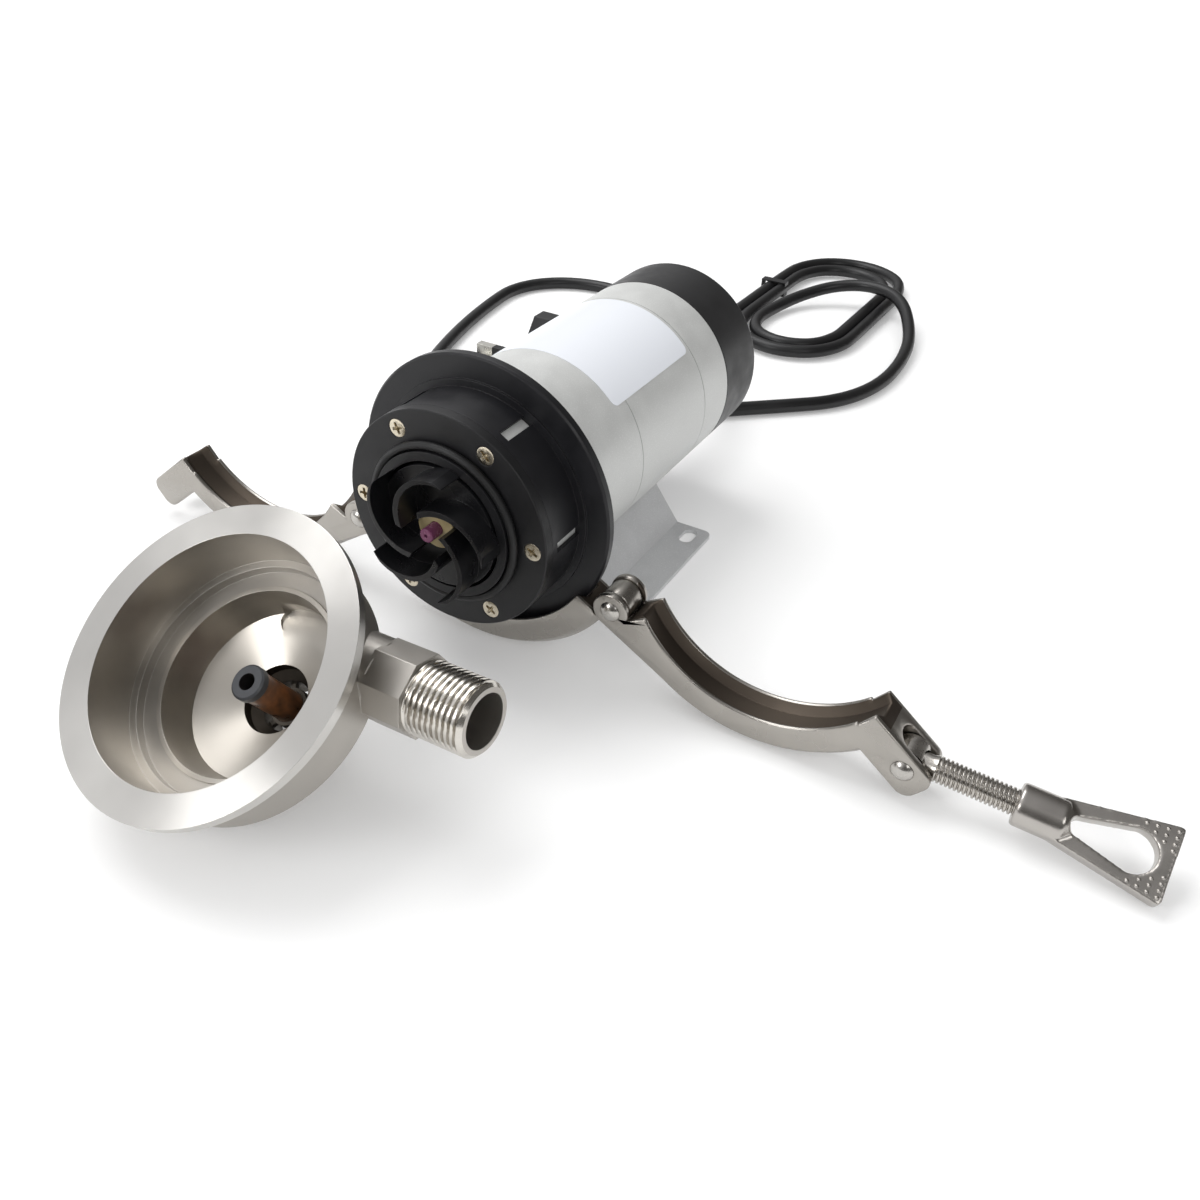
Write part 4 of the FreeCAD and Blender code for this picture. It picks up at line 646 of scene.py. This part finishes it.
def strain_relief():
    made = bmesh.new()
    profile = list(RELIEF_COLLAR)
    for i in range(RIB_COUNT):
        start = RIB_FIRST + (RIB_LAST - RIB_FIRST) * i / RIB_COUNT
        outer = RIB_RADIUS - RIB_TAPER * i
        inner, side = outer - RIB_DEPTH, start + RIB_WIDTH
        foot = side + RIB_FLANK
        profile += [(outer, start), (outer, side), (inner, foot), (inner, foot + RIB_GAP)]
    lathe(made, profile + RELIEF_TIP, along_y(0, CAP_REAR, AXIS_HEIGHT - GLAND_DROP))
    piece = mesh_object("strain_relief", made, "base", "plug_black")
    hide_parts("cord_gland")
    return piece


strain_relief()


# The pump head, with its threads, its turned and cast faces, and painted shade deep in its inlet
PORT_RADIUS = 10.48
PORT_PITCH = 1.814
PORT_THREAD_DEPTH = 1.0
PORT_CHAMFER = 1.2
OUTLET_OFFSET, OUTLET_DEPTH = 16.0, 23.0
OUTLET_THREAD = (52.0, 71.0)
INLET_THREAD = (38.0, 47.5)
CAST, TURNED, THREAD, BORED, INLET_SHADE_ZONE = range(5)
HEAD_FINISHES = [FINISHES["head_steel"], TURNED_HEAD, THREAD_STEEL, BORED_STEEL, INLET_PAINTED_SHADE]
RING_EDGE = 3.1
BORE_LEVEL, INSIDE_REACH = 15.9, 36.6
SEAT_LEVEL, SEAT_REACH = 17.9, 29.2
# Deeper than EYE_LEVEL and closer to the axis than EYE_REACH, the inlet's steel takes painted shade
EYE_LEVEL, EYE_REACH = 32.9, 10.8
OUTWARD = 0.5


def head_zone(radius, depth, normal_out):
    """Which finish a face of the head has: turned at the ring, bored inside, painted shade in the eye, or
    cast.
    """
    if depth < RING_EDGE:
        return TURNED
    if radius < EYE_REACH and depth > EYE_LEVEL:
        return INLET_SHADE_ZONE
    inside = radius < INSIDE_REACH and normal_out < OUTWARD
    if inside and (depth < BORE_LEVEL or (radius < SEAT_REACH and depth > SEAT_LEVEL)):
        return BORED
    return CAST


def pump_head_detail():
    made = node_copy("pump_head")
    origin = Vector(HEAD_ORIGIN)
    outlet_origin = origin + OUTLET_OFFSET * Vector(HEAD_SIDE) + OUTLET_DEPTH * Vector(HEAD_DEPTH)
    outlet = frame_place(outlet_origin, HEAD_SIDE, HEAD_DEPTH, HEAD_OUTLET)
    inlet = frame_place(origin, HEAD_OUTLET, HEAD_SIDE, HEAD_DEPTH)
    depth_axis = Vector(HEAD_DEPTH)
    for face in made.faces:
        spot = face.calc_center_median() / MM - origin
        depth = spot.dot(depth_axis)
        across = spot - depth * depth_axis
        out = face.normal.dot(across.normalized()) if across.length > 0.01 else 0.0
        face.material_index = head_zone(across.length, depth, out)
    for place, (start, end) in ((outlet, OUTLET_THREAD), (inlet, INLET_THREAD)):
        skin_off(made, place, PORT_RADIUS, start, end, PORT_RADIUS - PORT_CHAMFER - CHAMFER_SLACK)
        thread_skin(
            made, place, PORT_RADIUS, PORT_PITCH, PORT_THREAD_DEPTH, start, end, PORT_CHAMFER, THREAD,
        )
    piece = mesh_object(
        "pump_head_detail", made, "head", "head_steel", smooth=32.0, turn_faces=False,
        finishes=HEAD_FINISHES,
    )
    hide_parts("pump_head")
    return piece


pump_head_detail()


# The bush and sleeve in the head, with painted shadow down their bore
BORE_REACH = 2.7


def painted_bore_shadow(node, slot):
    made = node_copy(node)
    origin, axis = Vector(HEAD_ORIGIN), Vector(HEAD_DEPTH)
    for face in made.faces:
        spots = [vert.co / MM - origin for vert in face.verts]
        # A face near the axis, down the bore, takes the painted shadow
        face.material_index = int(all((s - s.dot(axis) * axis).length < BORE_REACH for s in spots))
    both = [FINISHES[slot], BORE_PAINTED_SHADOW]
    piece = mesh_object(node + "_detail", made, "head", slot, turn_faces=False, finishes=both)
    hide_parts(node)


painted_bore_shadow("head_bush", "grey_bush")
painted_bore_shadow("head_sleeve", "orange_sleeve")


# The clamp's castings and the nut, with their edges rounded
ARM_OPEN = math.radians(128.8)
FLAT_ANGLE = math.radians(1.5)
SHARP_ANGLE = math.radians(35.0)
CASTING_EDGE = 0.5
NUT_CELL, NUT_PASSES, NUT_SOFTNESS = 0.4, 7, 0.5
WEB_END = (53.396, 3.333)
WEB_INNER = (50.901, 3.177)
CLAMP_HALF = 6.85
WEB_ROOT = [
    (50.9, 3.1), (51.6, -5.0), (52.2, -15.0), (51.0, -18.5), (46.4, -17.2), (48.9, -7.7), (49.4, 2.6),
]
WEB_ROOT_START = 4.6
WEB_NEAR, WEB_WELD = 0.1, 0.05
# Each casting's node, body and side
CASTINGS = [
    ("clamp_arm_left", "arm_left", -1), ("clamp_arm_right", "arm_right", 1), ("clamp_middle", "base", 0),
]


def arm_place(side):
    """The frame of a clamp arm as it is when closed, opened to where it lies."""
    turned = Matrix.Rotation(ARM_OPEN * side, 4, "Y")
    return Matrix.Translation(Vector((ARM_CENTRE * side, CLAMP_MIDDLE, AXIS_HEIGHT)) * MM) @ turned


def web_roots(place, side):
    """The metal between an arm's web and its arc, on both faces."""
    made = bmesh.new()
    for hand in (-1, 1):
        rings = []
        for depth in (WEB_ROOT_START * hand, CLAMP_HALF * hand):
            spots = [place @ (Vector((x * side, depth, z)) * MM) for x, z in WEB_ROOT]
            rings.append([made.verts.new(spot) for spot in spots])
        bridge(made, *rings)
        for ring in rings:
            made.faces.new(ring)
    bmesh.ops.recalc_face_normals(made, faces=made.faces)
    return made


def united(made, extra):
    """Both forms as one closed mesh."""
    pieces = []
    for form in (made, extra):
        mesh = bpy.data.meshes.new("form")
        form.to_mesh(mesh)
        form.free()
        pieces.append(bpy.data.objects.new("form", mesh))
        bpy.context.scene.collection.objects.link(pieces[-1])
    union = pieces[0].modifiers.new("union", "BOOLEAN")
    union.operation = "UNION"
    union.object = pieces[1]
    whole = bmesh.new()
    whole.from_mesh(pieces[0].evaluated_get(bpy.context.evaluated_depsgraph_get()).to_mesh())
    for piece in pieces:
        bpy.data.objects.remove(piece)
    return whole


def web_end_in(made, place, side):
    """Draws the corners of the web's end in to the arc's flank, so that it runs out there."""
    back = place.inverted()
    for vert in made.verts:
        spot = back @ vert.co / MM
        apart = math.hypot(spot.x * side - WEB_END[0], spot.z - WEB_END[1])
        if apart < WEB_NEAR and abs(spot.y) > CLAMP_HALF - WEB_NEAR:
            vert.co = place @ (Vector((WEB_INNER[0] * side, spot.y, WEB_INNER[1])) * MM)
    bmesh.ops.remove_doubles(made, verts=made.verts, dist=WEB_WELD * MM)


def rounded_edges(made, width):
    bmesh.ops.dissolve_limit(made, angle_limit=FLAT_ANGLE, verts=made.verts, edges=made.edges)
    convex = [e for e in made.edges if len(e.link_faces) == 2 and e.is_convex]
    sharp = [e for e in convex if e.calc_face_angle(0.0) > SHARP_ANGLE]
    bmesh.ops.bevel(made, geom=sharp, offset=width * MM, segments=2, profile=0.5, affect="EDGES")


def clamp_castings():
    for node, body, side in CASTINGS:
        made = node_copy(node)
        if side:
            place = arm_place(side)
            made = united(made, web_roots(place, side))
            bmesh.ops.dissolve_limit(made, angle_limit=FLAT_ANGLE, verts=made.verts, edges=made.edges)
            web_end_in(made, place, side)
        rounded_edges(made, CASTING_EDGE)
        surface = NODE_FINISHES.get(node, FINISHES["clamp_steel"])
        piece = mesh_object(
            node + "_casting", made, body, "clamp_steel", smooth=50.0, finishes=[surface], turn_faces=False,
        )
        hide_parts(node)


def wing_nut_casting():
    """The nut remade in small even cells and smoothed, so that its edges and hollows are soft as cast."""
    piece = mesh_object("wing_nut_casting", node_copy("wing_nut"), "nut", "nut_steel", turn_faces=False)
    cells = piece.modifiers.new("cells", "REMESH")
    cells.mode = "VOXEL"
    cells.voxel_size = NUT_CELL * MM
    soft = piece.modifiers.new("soft", "SMOOTH")
    soft.factor, soft.iterations = NUT_SOFTNESS, NUT_PASSES
    mesh = bpy.data.meshes.new_from_object(piece.evaluated_get(bpy.context.evaluated_depsgraph_get()))
    piece.modifiers.clear()
    piece.data = mesh
    mesh.shade_smooth()
    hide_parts("wing_nut")


clamp_castings()
wing_nut_casting()


# The threaded swing bolt and the grip dots of the wing nut
PIVOT = (143.7, CLAMP_MIDDLE, 12.3615)
SWING = math.radians(3.2)
BOLT_RADIUS = 3.9
BOLT_PITCH = 1.25
BOLT_THREAD_DEPTH = 0.62
BOLT_THREAD = (8.0, 44.0)
BOLT_NECK = [(BOLT_RADIUS - 0.5, 1.0), (BOLT_RADIUS - 0.45, 6.5), (BOLT_RADIUS, 8.0)]
BOLT_STEPS, BOLT_ROWS = 40, 9
NUT_ROLL = math.radians(33.0)
NUT_END = 71.0
NUT_FACE = 2.8
DOT_COLUMNS, DOT_STEPS = 4, 12
DOT_INSET, DOT_COLUMN_GAP = 1.5, 2.6
DOT_OUT, DOT_SLANT, DOT_ROW_GAP = 9.3, 0.35, 1.85
DOT_PROFILE = [(0.62, -0.1), (0.55, 0.12), (0.34, 0.34), (0, 0.42)]


def bolt_place(roll=0.0):
    """The bolt's frame: Z along it from its pivot, X across the nut's paddle and Y out of its face."""
    along = Vector((math.cos(SWING), 0, -math.sin(SWING)))
    across = Vector((0, 1, 0))
    out = along.cross(across)
    turned_across = math.cos(roll) * across + math.sin(roll) * out
    return frame_place(PIVOT, turned_across, along.cross(turned_across), along)


def swing_bolt_detail():
    made = node_copy("swing_bolt")
    place = bolt_place()
    start, end = BOLT_THREAD
    skin_off(made, place, BOLT_RADIUS, 0.0, end, BOLT_RADIUS - PORT_CHAMFER - CHAMFER_SLACK)
    thread_skin(
        made, place, BOLT_RADIUS, BOLT_PITCH, BOLT_THREAD_DEPTH, start, end, PORT_CHAMFER,
        steps=BOLT_STEPS, rows_per_turn=BOLT_ROWS,
    )
    rings = [ring_of(made, place, circle(radius, BOLT_STEPS), level) for radius, level in BOLT_NECK]
    for first, second in zip(rings, rings[1:]):
        bridge(made, first, second)
    piece = mesh_object("swing_bolt_detail", made, "bolt", "bolt_steel", smooth=40.0)
    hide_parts("swing_bolt")
    return piece


def grip_dots():
    """Two triangles of small raised dots at the square end of each face of the nut."""
    made = bmesh.new()
    place = bolt_place(NUT_ROLL)
    for side in (-1, 1):
        turned = Matrix.Rotation(-side * math.pi / 2, 4, "X")
        for column in range(DOT_COLUMNS):
            for row in range(DOT_COLUMNS - column):
                along = NUT_END - DOT_INSET - column * DOT_COLUMN_GAP
                across = DOT_OUT - DOT_SLANT * column - row * DOT_ROW_GAP
                for hand in (-1, 1):
                    spot = Vector((across * hand, side * NUT_FACE, along)) * MM
                    lathe(made, DOT_PROFILE, place @ Matrix.Translation(spot) @ turned, steps=DOT_STEPS)
    return mesh_object("nut_grip_dots", made, "nut", "nut_steel", smooth=50.0)


swing_bolt_detail()
grip_dots()


# Floor, lamps and backdrop
FLOOR_RADIUS = 6.0
FLOOR_DROP = 0.0002
FLOOR_SHADE = (0.80, 0.80, 0.80, 1)
GLOW_NEAR, GLOW_FAR = 0.20, 0.75
GLOW_START, GLOW_END = 0.3, 0.9


def floor():
    made = bmesh.new()
    bmesh.ops.create_circle(made, cap_ends=True, segments=96, radius=FLOOR_RADIUS)
    mesh = bpy.data.meshes.new("floor")
    made.to_mesh(mesh)
    made.free()
    surface = bpy.data.materials.new("floor")
    surface.use_nodes = True
    nodes = Nodes(surface.node_tree)
    shade = nodes.add("BsdfDiffuse")
    shade.inputs["Color"].default_value = FLOOR_SHADE
    light = nodes.add("Emission")
    path = nodes.add("LightPath")
    seen = nodes.math("ADD", path.outputs["Is Camera Ray"], path.outputs["Is Glossy Ray"])
    seen = nodes.math("MINIMUM", nodes.math("ADD", seen, path.outputs["Is Transmission Ray"]), 1.0)
    away = nodes.vector("LENGTH", nodes.add("TexCoord").outputs["Object"], output=1)
    glow = nodes.spread(away, GLOW_NEAR, GLOW_FAR, GLOW_START, GLOW_END, smooth=True)
    nodes.put(light.inputs["Strength"], nodes.math("MULTIPLY", seen, glow))
    total = nodes.add("AddShader")
    nodes.put(total.inputs[0], shade.outputs[0])
    nodes.put(total.inputs[1], light.outputs[0])
    out = nodes.add("OutputMaterial")
    nodes.put(out.inputs["Surface"], total.outputs[0])
    mesh.materials.append(surface)
    piece = bpy.data.objects.new("floor", mesh)
    piece.location.z = -FLOOR_DROP
    bpy.context.scene.collection.objects.link(piece)


LIGHT_SIDE = (-0.85, -0.05, 0.55)
DARK_SIDE, BRIGHT_SIDE = (0.12, 0.115, 0.11, 1.0), (0.8, 0.8, 0.81, 1.0)
FILL_LOW, FILL_HIGH = 0.36, 0.76
FILL_START, FILL_END = 0.0, 0.9
SIDE_START, SIDE_END = 0.1, 0.85


def backdrop():
    """White where the camera sees it, a soft sky for the light, and a bright left side for gloss."""
    world = bpy.data.worlds.new("backdrop")
    world.use_nodes = True
    bpy.context.scene.world = world
    nodes = Nodes(world.node_tree)
    path = nodes.add("LightPath")
    toward = nodes.add("TexCoord").outputs["Generated"]
    height = nodes.add("SeparateXYZ")
    nodes.put(height.inputs[0], toward)
    sky = nodes.spread(height.outputs[2], FILL_LOW, FILL_HIGH, FILL_START, FILL_END)
    side = nodes.vector("DOT_PRODUCT", toward, Vector(LIGHT_SIDE).normalized(), output=1)
    share = nodes.spread(side, 0.0, 1.0, SIDE_START, SIDE_END, smooth=True)
    studio = nodes.blend(share, DARK_SIDE, BRIGHT_SIDE)
    seen = nodes.math("ADD", path.outputs["Is Camera Ray"], path.outputs["Is Transmission Ray"])
    seen = nodes.math("MINIMUM", seen, 1.0)
    light = nodes.blend(path.outputs["Is Glossy Ray"], sky, studio)
    light = nodes.blend(seen, light, WHITE)
    shade = nodes.add("Background")
    nodes.put(shade.inputs["Color"], light)
    out = nodes.add("OutputWorld")
    nodes.put(out.inputs["Surface"], shade.outputs[0])


def lamp(name, place, target, size, power):
    made = bpy.data.lights.new(name, "AREA")
    made.shape = "RECTANGLE"
    made.size, made.size_y = size
    made.energy = power
    piece = bpy.data.objects.new(name, made)
    aim = (Vector(place) - Vector(target)).to_track_quat("Z", "Y")
    piece.matrix_world = Matrix.Translation(place) @ aim.to_matrix().to_4x4()
    bpy.context.scene.collection.objects.link(piece)


# Each lamp's place and target in metres, its size and its power in watts
LAMPS = {
    "main_softbox": ((-0.55, 0.15, 1.05), (0, 0, 0.04), (0.9, 0.7), 7.8),
    "side_softbox": ((0.75, -0.65, 0.75), (0.02, -0.05, 0.04), (0.5, 0.5), 2.0),
    "front_softbox": ((-0.46, -0.92, 0.56), (0.0, -0.1, 0.04), (0.35, 0.35), 3.0),
}

floor()
backdrop()
for lamp_name, setting in LAMPS.items():
    lamp(lamp_name, *setting)
